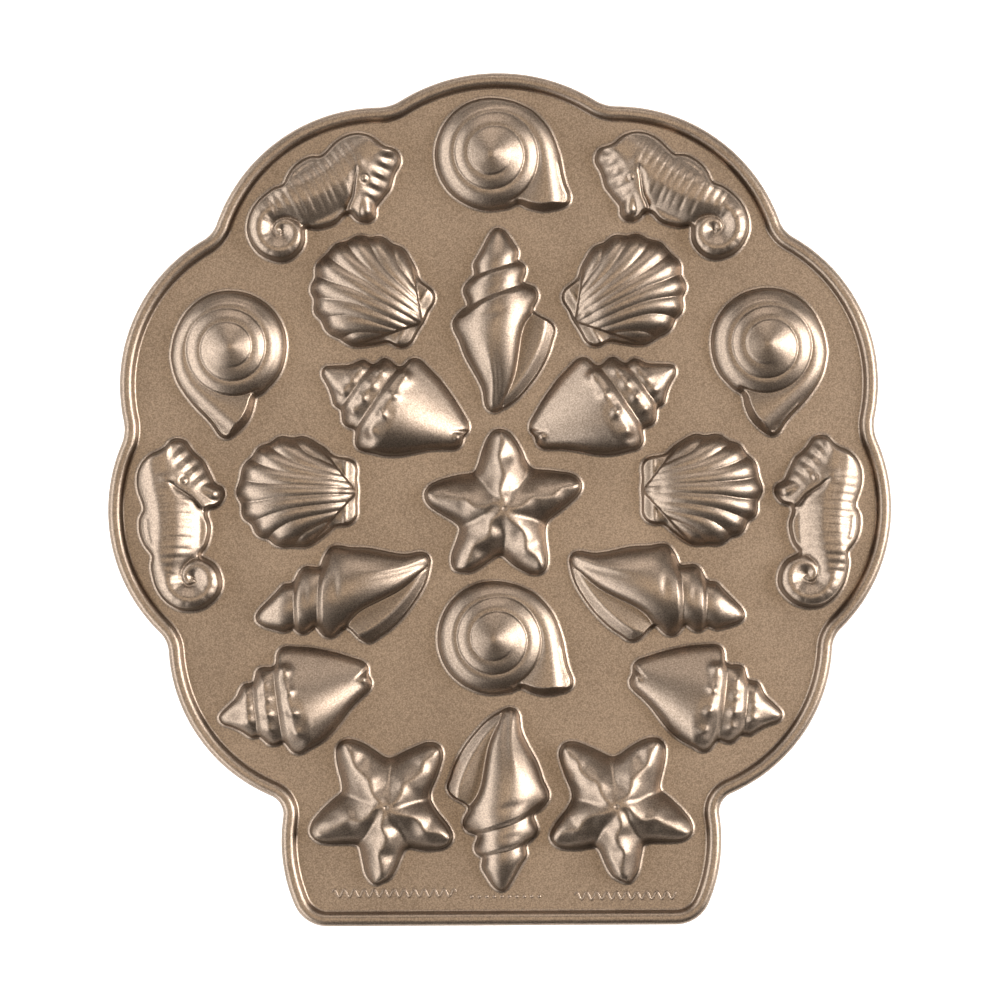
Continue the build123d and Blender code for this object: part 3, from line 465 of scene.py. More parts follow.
def relief_conch(puff, P, d):
    x, y = P.T
    body = cone(P, (38.5, -15.5), (9.0, 21.6), (-4.0, -20.6), 0.240, 0.2)
    spire = cone(P, (-33.5, 18.0), (7.0, 22.0), (-15.5, -19.5), 0.280)
    z = 4.2 + smin(body - 0.055 * (np.sqrt((x - 4) ** 2 + 30) + x - 4), spire, 1.8)
    A = line([(-25.5, -3.0), (-22.0, 0.3), (-19.6, 3.4), (-15.6, 9.0), (-12.4, 13.2), (-9.8, 16.6), (-7.5, 20.0)])
    B = line([(-17.5, -11.5), (-15.6, -7.8), (-13.6, -4.6), (-10.0, 0.8), (-5.6, 7.2), (-1.2, 13.2), (0.9, 15.6), (3.0, 19.0)])
    z = z - saw(P, A, 1.2, 5.5, 2.0) - saw(P, B, 1.5, 6.5, 2.4)
    rows = (
        (0.55, 0.40, [(-12.6, 18.6), (-15.4, 13.6), (-19.0, 8.8), (-22.4, 4.4)], ((-14.4, 14.9), (-17.6, 10.9), (-20.8, 6.6))),
        (0.90, 0.45, [(-4.0, 17.6), (-7.4, 11.8), (-11.6, 6.2), (-15.0, 1.2), (-18.4, -3.0)], ((-5.8, 14.0), (-9.4, 8.8), (-13.4, 3.6), (-17.6, -1.8))),
        (1.15, 0.50, [(5.0, 15.0), (2.0, 9.8), (-2.2, 3.2), (-6.2, -2.8), (-9.6, -8.4), (-12.0, -13.0)], ((4.0, 11.8), (-0.8, 4.6), (-5.4, -2.8), (-9.6, -10.2))),
    )
    for big, low, ridge, knobs in rows:
        a, t, side = near(P, line(ridge))
        z = z + low * bell(a, 2.0) * sstep(0, 0.08, t) * sstep(0, 0.10, 1 - t)
        for i, (kx, ky) in enumerate(knobs):
            # long across the whorl, short along it, each leaning its own way
            lean = math.radians(-35 + 14 * math.sin(2.3 * i + kx))
            p = (x - kx) * math.cos(lean) + (y - ky) * math.sin(lean)
            q = -(x - kx) * math.sin(lean) + (y - ky) * math.cos(lean)
            z = z + 0.85 * big * (1.0 if i % 2 == 0 else 0.85) * np.exp(-(p / 2.5) ** 2 - (q / (1.9 + 0.25 * math.cos(i * 1.9))) ** 2)
    a, t, side = near(P, line([(30.0, -9.6), (26.6, -9.9), (22.6, -10.0)]))
    z = z - 1.3 * bell(a, 0.8) * (1 - 0.8 * t)
    z = z + 1.0 * bell(np.hypot(x - 24.6, y + 12.2), 1.7)
    return z - 2.0 * rolled(d, 3.4)


def relief_seahorse(puff, P, d):
    x, y = P.T
    # across the trunk: a flat back between the smooth band on the left and the belly on the right
    back = smooth_through(y, [-40, -24, -20.5, -14.5, -7, 1, 9, 17, 24.5, 36], [-2.6, -3.4, -4.2, -4.8, -4.2, -4.0, -5.0, -6.8, -7.8, -8.6])
    e = x - back
    over = np.abs(e) - (3.3 - 2.0 * sstep(-9, -22, y))
    z = 11.9 - 1.3 * sstep(-9, -20, y) - np.where(e < 0, 0.46, 0.37 - 0.13 * sstep(3, 11, y)) * (np.sqrt(over * over + 2.2) + over) / 2 - np.where(e < 0, 0.019, 0.012) * np.clip(over, 0, 20) ** 2
    z = z - 0.045 * np.clip(-18 - y, 0, 20) ** 2
    # the tail winds inwards: its crest as a distance from the middle of the coil, by the angle turned
    v = P - [5.6, -21.2]
    r = np.hypot(*v.T)
    go = (np.degrees(np.arctan2(v[:, 1], v[:, 0])) - 180) % 360            # from the left, by way of the bottom
    tail = None
    for whole in (0, 360, -360):
        g = go + whole
        crest = smooth_through(g, [-60, 0, 45, 90, 135, 180, 225, 270, 315, 360, 405, 450, 500, 720], [9.9, 9.8, 9.2, 8.4, 7.7, 7.0, 6.2, 5.0, 3.9, 3.1, 2.4, 1.5, 0.8, 0.3])
        out = np.abs(crest - r) - 0.9 * sstep(420, 200, g)
        w = 10.6 - 1.4 * sstep(60, 330, g) - 0.6 * sstep(330, 500, g) - 0.50 * (np.sqrt(out * out + 0.4) + out) / 2 - 0.012 * np.clip(out, 0, 20) ** 2
        w = w - 7.0 * sstep(0, -55, g) - 0.05 * np.clip(g - 500, 0, 400)
        tail = w if tail is None else smax(tail, w, 0.3)
    z = smax(z, tail, 0.8)
    # rings: shallow rounded grooves, with a depth over the belly and one over the back, and on around the tail
    lie = y - 0.05 * e + 0.008 * (e - 1.0) ** 2
    belly = sstep(0.2, 4.0, e) * (1 - 0.85 * sstep(7.5, 11.0, e)) * sstep(-18.5, -12.5, y - 0.4 * e)
    spine = sstep(-10.5, -7.0, e) * sstep(4.0, 0.2, e)
    for at, front, rear, wide in ((20.6, 0, 0.10, 0.9), (17.4, 0, 0.14, 0.9), (14.2, 0, 0.16, 0.9), (11.0, 0.10, 0.17, 0.85), (7.9, 0.13, 0.18, 0.8), (4.4, 0.17, 0.19, 0.75), (1.7, 0.14, 0.17, 0.7),
                                  (-1.4, 0.12, 0.17, 0.7), (-5.0, 0.24, 0.20, 0.8), (-9.6, 0.28, 0.21, 0.95), (-13.2, 0.20, 0.20, 1.0), (-16.6, 0.14, 0.18, 0.95), (-19.8, 0, 0.15, 0.9)):
        z = z - (front * belly + rear * spine) * np.exp(-((lie - at) / wide) ** 2)
    for at in (14, 34, 54, 76, 100, 126, 154, 184):
        z = z - 0.10 * np.exp(-((go - at) * r * math.pi / 180 / 0.95) ** 2) * sstep(3.5, 6.0, r) * sstep(14.0, 11.0, r) * sstep(-16.5, -19.5, y)
    # ledge along the belly's outer edge
    ledge = 7.3 - 0.05 * np.abs(x - 9.0)
    z = z + (smax(z, ledge, 0.5) - z) * sstep(3.5, 6.5, x) * sstep(11.0, 7.0, y) * sstep(-12.5, -9.0, y)
    # slot in the fin
    slot = near(P, line([(-12.6, 1.6), (-12.4, -1.6), (-11.8, -4.6), (-11.2, -6.6)]))[0]
    z = z - 0.30 * bell(slot, 0.7)
    # the head stands above the neck along the chin
    a3, t3, s3 = near(P, line([(-9.5, 18.8), (-5.4, 17.6), (-2.4, 16.3), (0.4, 14.2), (3.4, 12.3), (6.3, 10.2), (8.7, 7.4), (12.4, 3.8)]))
    u3 = a3 * s3
    p = (x + 1.2) * 0.75 + (y - 30.2) * 0.66                           # outwards, towards the crown
    q = (x + 1.2) * 0.66 - (y - 30.2) * 0.75                           # along the crown, downwards
    head = 11.6 - 0.12 * np.clip(x + 3, 0, 30)
    head = head - 0.52 * (np.sqrt((p + 5.6) ** 2 + 1.5) + p + 5.6) / 2
    for kx, ky, h in ((-2.6, 31.0, 0.8), (0.2, 27.9, 1.1), (3.4, 24.4, 1.2), (6.2, 20.9, 1.15), (9.0, 17.6, 0.9)):
        kp, kq = (x - kx) * 0.75 + (y - ky) * 0.66, (x - kx) * 0.66 - (y - ky) * 0.75
        head = head + h * np.exp(-(kp / 3.1) ** 2 - (kq / 1.8) ** 2)
    high = sstep(-0.3, 0.8, u3) * sstep(-5.6, -0.6, x)
    z = z * (1 - high) + head * high
    z = z - 1.2 * sstep(-5.0, -0.5, x) * np.where(u3 > 0, np.clip(1 - a3 / 1.1, 0, 1) ** 1.5, np.clip(1 - a3 / 3.2, 0, 1) ** 2)
    z = z + 0.6 * bell(np.hypot((x + 4.4) / 1.4, y - 18.6), 2.4)
    # snout and eye
    a5, t5, s5 = near(P, line([(3.5, 15.6), (8.0, 14.2), (13.2, 12.4)]))
    z = smax(z, 8.9 - 0.21 * a5 * a5, 0.8)
    eye = np.hypot(x - 2.2, y - 17.8)
    z = z + 0.28 * bell(eye, 0.8) - 0.2 * bell(eye - 1.5, 0.5)
    # where the tail lies against the trunk
    curl = line([(11.4, -11.0), (8.7, -12.5), (5.4, -13.6), (2.6, -16.1), (1.3, -19.4), (2.0, -22.5), (4.0, -24.1), (6.0, -23.2), (6.2, -21.2), (4.9, -20.4)])
    a4, t4, s4 = near(P, curl)
    z = z - 1.0 * np.exp(-a4 / np.where(s4 > 0, 1.1, 0.6)) * sstep(0.0, 0.4, 1.03 - t4)
    return z - 1.7 * rolled(d, 2.4)


def rolled(d, width):
    """How much an edge is rounded off: one at the outline, none further in than width."""
    return 1 - np.sqrt(np.maximum(1 - np.clip(1 - d / width, 0, 1) ** 2, 0))


RELIEF = {"snail": relief_snail, "scallop": relief_scallop, "star": relief_star, "whelk": relief_whelk, "conch": relief_conch, "seahorse": relief_seahorse}

# a second, smaller shape to blow up: the whelk without its flap
WHELK_BODY = [(-6.2, -33.4), (-8.0, -26.0), (-11.0, -20.0), (-15.5, -11.0), (-18.5, -4.5), (-19.6, 0.0), (-17.5, 4.0), (-13.2, 8.0), (-15.2, 13.0), (-14.0, 17.0),
              (-10.6, 20.4), (-11.4, 24.0), (-8.0, 31.0), (-4.5, 37.0), (-1.8, 38.6), (1.2, 37.0), (5.0, 31.5), (6.8, 28.0), (6.2, 25.4), (9.6, 22.0), (8.6, 16.6),
              (14.2, 12.5), (13.4, 6.0), (12.4, 0.0), (10.4, -8.0), (8.8, -16.0), (6.4, -23.0), (2.8, -29.4), (-1.6, -34.4)]


def puffs(design, L):
    out = [Puff(L)]
    if design == "whelk":
        out.append(Puff(closed_curve(WHELK_BODY, 0.5)))
    return out


# ---------------------------------------------------------------- meshes
def triangles(points, loops):
    """Constrained Delaunay triangles between closed loops; points come back renumbered."""
    verts = [Vector((float(a), float(b))) for a, b in points]
    edges, faces, n = [], [], 0
    for size in loops:
        edges += [(n + i, n + (i + 1) % size) for i in range(size)]
        n += size
    V, E, F, *_ = delaunay_2d_cdt(verts, edges, [], 0, 1e-6)
    V = np.array([tuple(v) for v in V])
    F = np.array([tuple(f) for f in F], int)
    a, b, c = V[F[:, 0]], V[F[:, 1]], V[F[:, 2]]
    area = (b[:, 0] - a[:, 0]) * (c[:, 1] - a[:, 1]) - (b[:, 1] - a[:, 1]) * (c[:, 0] - a[:, 0])
    F = F[np.abs(area) > 1e-9]
    area = area[np.abs(area) > 1e-9]
    F[area < 0] = F[area < 0][:, ::-1]
    return V, F


def spaced(points, edge, gap=0.06):
    """The border first, then the inner points that are clear of it and of each other."""
    P = np.vstack(points)
    P = P[inside(P, edge)]
    P = P[near(P, edge, True)[0] > 0.10]
    seen, keep = set(), []
    cell = np.floor(P / gap).astype(int)
    for i, (a, b) in enumerate(cell):
        if any((a + da, b + db) in seen for da in (-1, 0, 1) for db in (-1, 0, 1)):
            continue
        seen.add((a, b))
        keep.append(i)
    return np.vstack([edge, P[keep]])


def hexgrid(lo, hi, s):
    out = []
    k = 0
    for yy in np.arange(lo[1], hi[1], s * 0.866):
        xs = np.arange(lo[0] + (s / 2 if k % 2 else 0), hi[0], s)
        out.append(np.c_[xs, np.full(len(xs), yy)])
        k += 1
    return np.vstack(out)


def border(V, F):
    """Boundary loops of a triangulation, as lists of vertex numbers."""
    E = np.vstack([F[:, [0, 1]], F[:, [1, 2]], F[:, [2, 0]]])
    key = {}
    for a, b in E:
        key[(a, b)] = key.get((a, b), 0) + 1
    nxt = {a: b for (a, b) in key if (b, a) not in key}
    loops = []
    while nxt:
        a = next(iter(nxt))
        loop = [a]
        b = nxt.pop(a)
        while b != a:
            loop.append(b)
            b = nxt.pop(b)
        loops.append(loop)
    return loops


def new_mesh(name, verts, tris, quads, sharp=(), smooth=True):
    """Mesh from arrays in millimetres; sharp is a set of vertex number pairs."""
    me = bpy.data.meshes.new(name)
    n = len(verts)
    me.vertices.add(n)
    me.vertices.foreach_set("co", (np.asarray(verts, np.float64) * MM).astype(np.float32).ravel())
    tris = np.asarray(tris, np.int32).reshape(-1, 3)
    quads = np.asarray(quads, np.int32).reshape(-1, 4)
    me.loops.add(len(tris) * 3 + len(quads) * 4)
    me.loops.foreach_set("vertex_index", np.r_[tris.ravel(), quads.ravel()])
    me.polygons.add(len(tris) + len(quads))
    starts = np.r_[np.arange(len(tris)) * 3, len(tris) * 3 + np.arange(len(quads)) * 4].astype(np.int32)
    me.polygons.foreach_set("loop_start", starts)
    me.update(calc_edges=True)
    me.polygons.foreach_set("use_smooth", np.full(len(tris) + len(quads), smooth))
    if len(sharp):
        ev = np.empty(len(me.edges) * 2, np.int32)
        me.edges.foreach_get("vertices", ev)
        ev = np.sort(ev.reshape(-1, 2), 1).astype(np.int64)
        code = ev[:, 0] * (n + 1) + ev[:, 1]
        S = np.sort(np.array(list(sharp), np.int64), 1)
        marked = np.isin(code, S[:, 0] * (n + 1) + S[:, 1])
        at = me.attributes.get("sharp_edge") or me.attributes.new("sharp_edge", "BOOLEAN", "EDGE")
        at.data.foreach_set("value", marked)
    me.validate()
    me.update()
    return me


def show(name, me, node, material):
    ob = bpy.data.objects.new(name, me)
    bpy.context.scene.collection.objects.link(ob)
    me.materials.append(material)
    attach(ob, "root")
    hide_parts(node)
    return ob


def ring_points(L, off, step):
    """Points at a signed distance from the outline (positive inwards), where that ring really exists."""
    T = np.roll(L, -1, 0) - np.roll(L, 1, 0)
    T /= np.hypot(*T.T)[:, None]
    N = np.c_[-T[:, 1], T[:, 0]]                  # inwards for a counter-clockwise outline
    Q = L + N * off
    keep = near(Q, L, closed=True)[0] > abs(off) - 0.02
    return Q, keep


def uncrossed(Q):
    """The closed line without the small loops that an offset makes in tight hollows."""
    Q = [tuple(q) for q in Q]

    def cut(a, b, c, d):
        r = (b[0] - a[0], b[1] - a[1])
        s = (d[0] - c[0], d[1] - c[1])
        den = r[0] * s[1] - r[1] * s[0]
        if abs(den) < 1e-12:
            return False
        q = (c[0] - a[0], c[1] - a[1])
        t = (q[0] * s[1] - q[1] * s[0]) / den
        u = (q[0] * r[1] - q[1] * r[0]) / den
        return -1e-6 <= t <= 1 + 1e-6 and -1e-6 <= u <= 1 + 1e-6

    i, calm = 0, 0
    while calm <= len(Q):
        n = len(Q)
        i %= n
        for k in range(min(40, n - 3), 1, -1):
            j = (i + k) % n
            if cut(Q[i], Q[(i + 1) % n], Q[j], Q[(j + 1) % n]):
                drop = {(i + m) % n for m in range(1, k + 1)}
                Q = [q for m, q in enumerate(Q) if m not in drop]
                calm = 0
                break
        else:
            calm += 1
            i += 1
    out = np.array(Q)
    gap = np.hypot(*(np.roll(out, -1, 0) - out).T)
    return out[gap > 0.05]


def stack(top, bottom, loop_pairs, Ft, Fb):
    """Joins a top and a bottom sheet whose borders match, with walls between."""
    n = len(top)
    quads = []
    sharp = set()
    for lt, lb in loop_pairs:
        m = len(lt)
        for i in range(m):
            a, b = lt[i], lt[(i + 1) % m]
            c, d = lb[i] + n, lb[(i + 1) % m] + n
            quads.append((b, a, c, d))
            sharp.add((a, b))
            sharp.add((c, d))
    tris = np.vstack([Ft, (Fb + n)[:, ::-1]])
    return np.vstack([top, bottom]), tris, quads, sharp


def match(loop, V, W, tree):
    """For each border vertex of V, the vertex of W at the same place."""
    out = []
    for i in loop:
        out.append(tree[(round(float(V[i][0]), 3), round(float(V[i][1]), 3))])
    return out


def foot_height(d):
    """Height of the casting beside the outline: a narrow gentle slope outside it, a short steep wall inside."""
    knots = np.array([-1.48, -1.25, -1.05, -0.45, -0.22, 0.0, 0.25, 1.2, 3.0, 30.0])
    slope = np.array([0.0, 0.10, 0.34, 0.46, 1.05, 3.0, 8.5, 8.5, 8.5, 8.5])
    height = np.r_[0.0, np.cumsum(np.diff(knots) * (slope[1:] + slope[:-1]) / 2)]
    i = np.clip(np.searchsorted(knots, d, side="right") - 1, 0, len(knots) - 2)
    t = np.clip(d, knots[0], knots[-1]) - knots[i]
    return height[i] + slope[i] * t + (slope[i + 1] - slope[i]) * t * t / (2 * np.diff(knots)[i])


def cup_sheets(design):
    """Top and bottom sheets of one cup in its own frame (z above the deck's upper face)."""
    L = closed_curve(OUTLINES[design], 0.38)
    puff = puffs(design, L)
    relief = lambda P, d: RELIEF[design](puff, P, d)
    Q, keep = ring_points(L, -LAND, 0.4)
    edge = uncrossed(Q[keep])
    pts = []
    for off in (-1.2, -1.0, -0.8, -0.62, -0.46, -0.32, -0.20, -0.10, -0.03, 0.03, 0.12, 0.24, 0.38, 0.55, 0.75, 1.0, 1.3, 1.65):
        Q, k = ring_points(L, off, 0.4)
        pts.append(Q[k])
    G = hexgrid(L.min(0), L.max(0), 0.38)
    sd = signed(G, L)
    pts.append(G[sd > 1.95])
    V, F = triangles(spaced(pts, edge), [len(edge)])
    c = V[F].mean(1)
    F = F[inside(c, edge)]
    d = signed(V, L)
    z = np.zeros(len(V))
    z = foot_height(d)
    up = d > 0
    wall = z[up]
    z[up] = smin(wall, smax(relief(V[up], d[up]), 1.6 + 1.0 * np.minimum(d[up], 2.4), 0.5), 0.9)
    top = np.c_[V, z]
    # cavity side
    pts = []
    for off in (0.3, 1.1, 1.4, 1.65, 1.85, 2.0, 2.12, 2.2, 2.28, 2.4, 2.6, 2.9, 3.3):
        Q, k = ring_points(L, off, 0.4)
        pts.append(Q[k][::2])
    G = hexgrid(L.min(0), L.max(0), 0.75)
    sd = signed(G, L)
    pts.append(G[sd > 3.7])
    V2, F2 = triangles(spaced(pts, edge, 0.2), [len(edge)])
    c = V2[F2].mean(1)
    F2 = F2[inside(c, edge)]
    d = signed(V2, L)
    base = -(DECK_TOP - DECK_UNDER)
    z = np.full(len(V2), base)
    R = 0.8
    lip = (d > SIDE_WALL - R) & (d <= SIDE_WALL)
    z[lip] = base + R - np.sqrt(np.maximum(R * R - (d[lip] - SIDE_WALL + R) ** 2, 0))
    up = d > SIDE_WALL
    U = V2[up]
    soft = relief(U, d[up]) * 2
    for k in range(6):
        a = k * math.pi / 3
        soft = soft + relief(U + [1.3 * math.cos(a), 1.3 * math.sin(a)], d[up])
    soft = soft / 8 - CROWN_WALL
    z[up] = smin(base + R + 5.0 * (d[up] - SIDE_WALL), np.maximum(soft, base + 1.0), 2.0)
    bottom = np.c_[V2, z]
    # borders of both sheets are the same curve
    lt = max(border(V, F), key=len)
    lb = max(border(V2, F2), key=len)
    tree = {(round(float(V2[i][0]), 3), round(float(V2[i][1]), 3)): i for i in lb}
    lb = match(lt, V, V2, tree)
    return top, bottom, lt, lb, F, F2


def placed(P, place):
    _, _, x, y, turn, mirrored, size = place
    c, s = math.cos(math.radians(turn)), math.sin(math.radians(turn))
    X = -P[:, 0] if mirrored else P[:, 0]
    return np.c_[x + size * (c * X - s * P[:, 1]), y + size * (s * X + c * P[:, 1])]


# ---------------------------------------------------------------- outline of the pan
def hollow_centre(a, b, r):
    ra, rb = a[2] + r, b[2] + r
    d = math.hypot(b[0] - a[0], b[1] - a[1])
    t = (ra * ra - rb * rb + d * d) / (2 * d)
    h = math.sqrt(ra * ra - t * t)
    ex, ey = (b[0] - a[0]) / d, (b[1] - a[1]) / d
    one = (a[0] + t * ex - h * ey, a[1] + t * ey + h * ex)
    two = (a[0] + t * ex + h * ey, a[1] + t * ey - h * ex)
    return max((one, two), key=lambda p: math.hypot(p[0], p[1]))


def half_outline():
    """Right half from the top middle to the base middle: points on the outer edge and inward directions."""
    hollows = [hollow_centre(a, b, r) for a, b, r in zip(LOBES, LOBES[1:], NOTCH_R)]
    P, N = [], []

    def arc(c, r, a0, a1, sign, step=0.55):
        # sign +1: centre lies inside the pan, -1: outside
        m = max(6, int(abs(a1 - a0) * r / step))
        for a in np.linspace(a0, a1, m, endpoint=False):
            u = np.array([math.cos(a), math.sin(a)])
            P.append(np.array(c) + r * u)
            N.append(-u * sign)

    ang = lambda c, p: math.atan2(p[1] - c[1], p[0] - c[0])
    a0 = math.pi / 2
    for i, (cx, cy, R) in enumerate(LOBES):
        if i < len(hollows):
            h = hollows[i]
            a1 = ang((cx, cy), h)
            arc((cx, cy), R, a0, a1, 1)
            nx = LOBES[i + 1]
            b0, b1 = ang(h, (cx, cy)), ang(h, (nx[0], nx[1]))
            while b1 - b0 > math.pi:
                b1 -= 2 * math.pi
            while b1 - b0 < -math.pi:
                b1 += 2 * math.pi
            arc(h, NOTCH_R[i], b0, b1, -1)
            a0 = ang((nx[0], nx[1]), h)
        else:
            y0 = BASE_Y + CORNER_R
            gap = R - CORNER_R
            x0 = cx + math.sqrt(gap * gap - (y0 - cy) ** 2)
            a1 = ang((cx, cy), (x0, y0))
            arc((cx, cy), R, a0, a1, 1)
            arc((x0, y0), CORNER_R, a1, -math.pi / 2, 1)
            m = int(x0 / 0.8)
            for t in np.linspace(0, 1, m, endpoint=False):
                P.append(np.array([x0 * (1 - t), BASE_Y]))
                N.append(np.array([0.0, 1.0]))
    return np.array(P), np.array(N)


def full_outline():
    P, N = half_outline()
    # the base middle itself, then the mirrored half back up to the top
    P = np.vstack([P, [[0.0, BASE_Y]], (P[1:] * [-1, 1])[::-1]])
    N = np.vstack([N, [[0.0, 1.0]], (N[1:] * [-1, 1])[::-1]])
    return P, N


# ---------------------------------------------------------------- materials
def pan_metal():
    """Bronze-coloured coating on cast metal: satin, with a fine sparkling grain."""
    m = bpy.data.materials.new("pan_metal_bronze")
    m.use_nodes = True
    nt = m.node_tree
    nt.nodes.clear()
    N = nt.nodes.new
    out = N("ShaderNodeOutputMaterial")
    b = N("ShaderNodeBsdfPrincipled")
    nt.links.new(b.outputs["BSDF"], out.inputs["Surface"])
    co = N("ShaderNodeTexCoord")

    def noise(scale, detail, rough=0.5):
        n = N("ShaderNodeTexNoise")
        n.inputs["Scale"].default_value = scale
        n.inputs["Detail"].default_value = detail
        n.inputs["Roughness"].default_value = rough
        nt.links.new(co.outputs["Object"], n.inputs["Vector"])
        return n

    grain = noise(1700.0, 2.0, 0.6)     # 0.6 mm flakes of the coating
    fine = noise(5200.0, 1.0)
    cloud = noise(26.0, 3.0)            # uneven spray over centimetres
    ramp = N("ShaderNodeValToRGB")
    ramp.color_ramp.elements[0].position = 0.36
    ramp.color_ramp.elements[0].color = (*TONE_A, 1)
    ramp.color_ramp.elements[1].position = 0.66
    ramp.color_ramp.elements[1].color = (*TONE_B, 1)
    mix = N("ShaderNodeMath")
    mix.operation = "MULTIPLY_ADD"
    mix.inputs[1].default_value = 0.80
    nt.links.new(grain.outputs["Fac"], mix.inputs[0])
    half = N("ShaderNodeMath")
    half.operation = "MULTIPLY"
    half.inputs[1].default_value = 0.20
    nt.links.new(cloud.outputs["Fac"], half.inputs[0])
    nt.links.new(half.outputs[0], mix.inputs[2])
    nt.links.new(mix.outputs[0], ramp.inputs["Fac"])
    nt.links.new(ramp.outputs["Color"], b.inputs["Base Color"])
    rough = N("ShaderNodeMapRange")
    rough.inputs["From Min"].default_value = 0.25
    rough.inputs["From Max"].default_value = 0.75
    rough.inputs["To Min"].default_value = ROUGH - 0.05
    rough.inputs["To Max"].default_value = ROUGH + 0.06
    nt.links.new(fine.outputs["Fac"], rough.inputs["Value"])
    nt.links.new(rough.outputs["Result"], b.inputs["Roughness"])
    b.inputs["Metallic"].default_value = METAL
    b.inputs["Specular IOR Level"].default_value = 0.5
    bump = N("ShaderNodeBump")
    bump.inputs["Strength"].default_value = GRAIN
    bump.inputs["Distance"].default_value = 0.00006
    nt.links.new(grain.outputs["Fac"], bump.inputs["Height"])
    bump2 = N("ShaderNodeBump")
    bump2.inputs["Strength"].default_value = 0.25
    bump2.inputs["Distance"].default_value = 0.0002
    wave = noise(420.0, 2.0)            # soft unevenness of the casting
    nt.links.new(wave.outputs["Fac"], bump2.inputs["Height"])
    nt.links.new(bump.outputs["Normal"], bump2.inputs["Normal"])
    nt.links.new(bump2.outputs["Normal"], b.inputs["Normal"])
    return m


def floor_material():
    m = bpy.data.materials.new("studio_paper")
    m.use_nodes = True
    nt = m.node_tree
    b = nt.nodes["Principled BSDF"]
    co = nt.nodes.new("ShaderNodeTexCoord")
    n = nt.nodes.new("ShaderNodeTexNoise")
    n.inputs["Scale"].default_value = 900.0
    n.inputs["Detail"].default_value = 3.0
    nt.links.new(co.outputs["Object"], n.inputs["Vector"])
    r = nt.nodes.new("ShaderNodeValToRGB")
    r.color_ramp.elements[0].color = (0.93, 0.93, 0.93, 1)
    r.color_ramp.elements[1].color = (0.97, 0.97, 0.97, 1)
    nt.links.new(n.outputs["Fac"], r.inputs["Fac"])
    nt.links.new(r.outputs["Color"], b.inputs["Base Color"])
    b.inputs["Roughness"].default_value = 0.9
    b.inputs["Specular IOR Level"].default_value = 0.1
    # lit paper, so that the surround is white as in the photograph
    nt.links.new(r.outputs["Color"], b.inputs["Emission Color"])
    b.inputs["Emission Strength"].default_value = 0.6
    return m


TONE_A = (0.170, 0.130, 0.099)
TONE_B = (0.325, 0.255, 0.199)
ROUGH = 0.40
METAL = 1.0
GRAIN = 0.55
metal = pan_metal()

# ---------------------------------------------------------------- rim
# section of the rim, from the cavity side round the outer edge to the deck:
# distance in from the outer edge, height
section = [(RIM_BAND, DECK_UNDER), (6.62, 1.5)]
section += [(6.3, 1.46), (6.12, 1.3), (6.0, 1.05), (5.94, 0.7), (5.85, 0.35), (5.65, 0.1), (5.3, 0.0), (4.2, 0.0), (2.6, 0.0), (1.4, 0.0)]
section += [(1.0 - 1.0 * math.sin(math.radians(a)), 1.0 - 1.0 * math.cos(math.radians(a))) for a in (15, 30, 45, 60, 75, 90)]
section += [(0.0, 1.8), (0.0, 3.2), (0.0, 4.6), (0.02, 5.2)]
section += [(2.55 - 2.5 * math.cos(math.radians(a)), 5.5 + 2.5 * math.sin(math.radians(a))) for a in (5, 15, 25, 35, 45, 55, 65, 75, 85, 93)]
section += [(3.05 + 2.45 * math.sin(math.radians(a)), 5.55 + 2.45 * math.cos(math.radians(a))) for a in (5, 15, 25, 35, 45, 55, 65, 75, 84)]
section += [(6.72 - 1.15 * math.cos(math.radians(a)), 4.5 + 1.15 - 1.15 * math.sin(math.radians(a))) for a in (8, 22, 36, 50, 62, 74, 84)]
section += [(RIM_BAND, DECK_TOP)]
section = np.array(section)
OUT, INW = full_outline()
nP, nS = len(OUT), len(section)
verts = np.concatenate([np.c_[OUT + INW * d, np.full(nP, z)] for d, z in section])
quads = []
for k in range(nS):
    a, b = k * nP, ((k + 1) % nS) * nP
    i = np.arange(nP)
    j = (i + 1) % nP
    quads.append(np.c_[a + i, b + i, b + j, a + j])
quads = np.vstack(quads)
sharp = []
i = np.arange(nP)
j = (i + 1) % nP
sharp = [tuple(e) for k in (0, nS - 1) for e in np.c_[k * nP + i, k * nP + j]]
rim = show("rim_bead_skin", new_mesh("rim_bead_skin", verts, [], quads, sharp), "rim_bead", metal)

# ---------------------------------------------------------------- cups
DECK_EDGE = OUT + INW * RIM_BAND
sheets = {}
deck_holes = []
for place in MOULDS:
    name, design = place[0], place[1]
    if design not in sheets:
        sheets[design] = cup_sheets(design)
    top, bottom, lt, lb, Ft, Fb = sheets[design]
    T = np.c_[placed(top[:, :2], place), top[:, 2] + DECK_TOP]
    B = np.c_[placed(bottom[:, :2], place), bottom[:, 2] + DECK_TOP]
    V, F, Q, sharp = stack(T, B, [(lt, lb)], Ft, Fb)
    Q = np.array(Q)
    if place[5]:
        F, Q = F[:, ::-1], Q[:, ::-1]
    show(name + "_skin", new_mesh(name + "_skin", V, F, Q, sharp), name, metal)
    deck_holes.append(T[lt][:, :2])

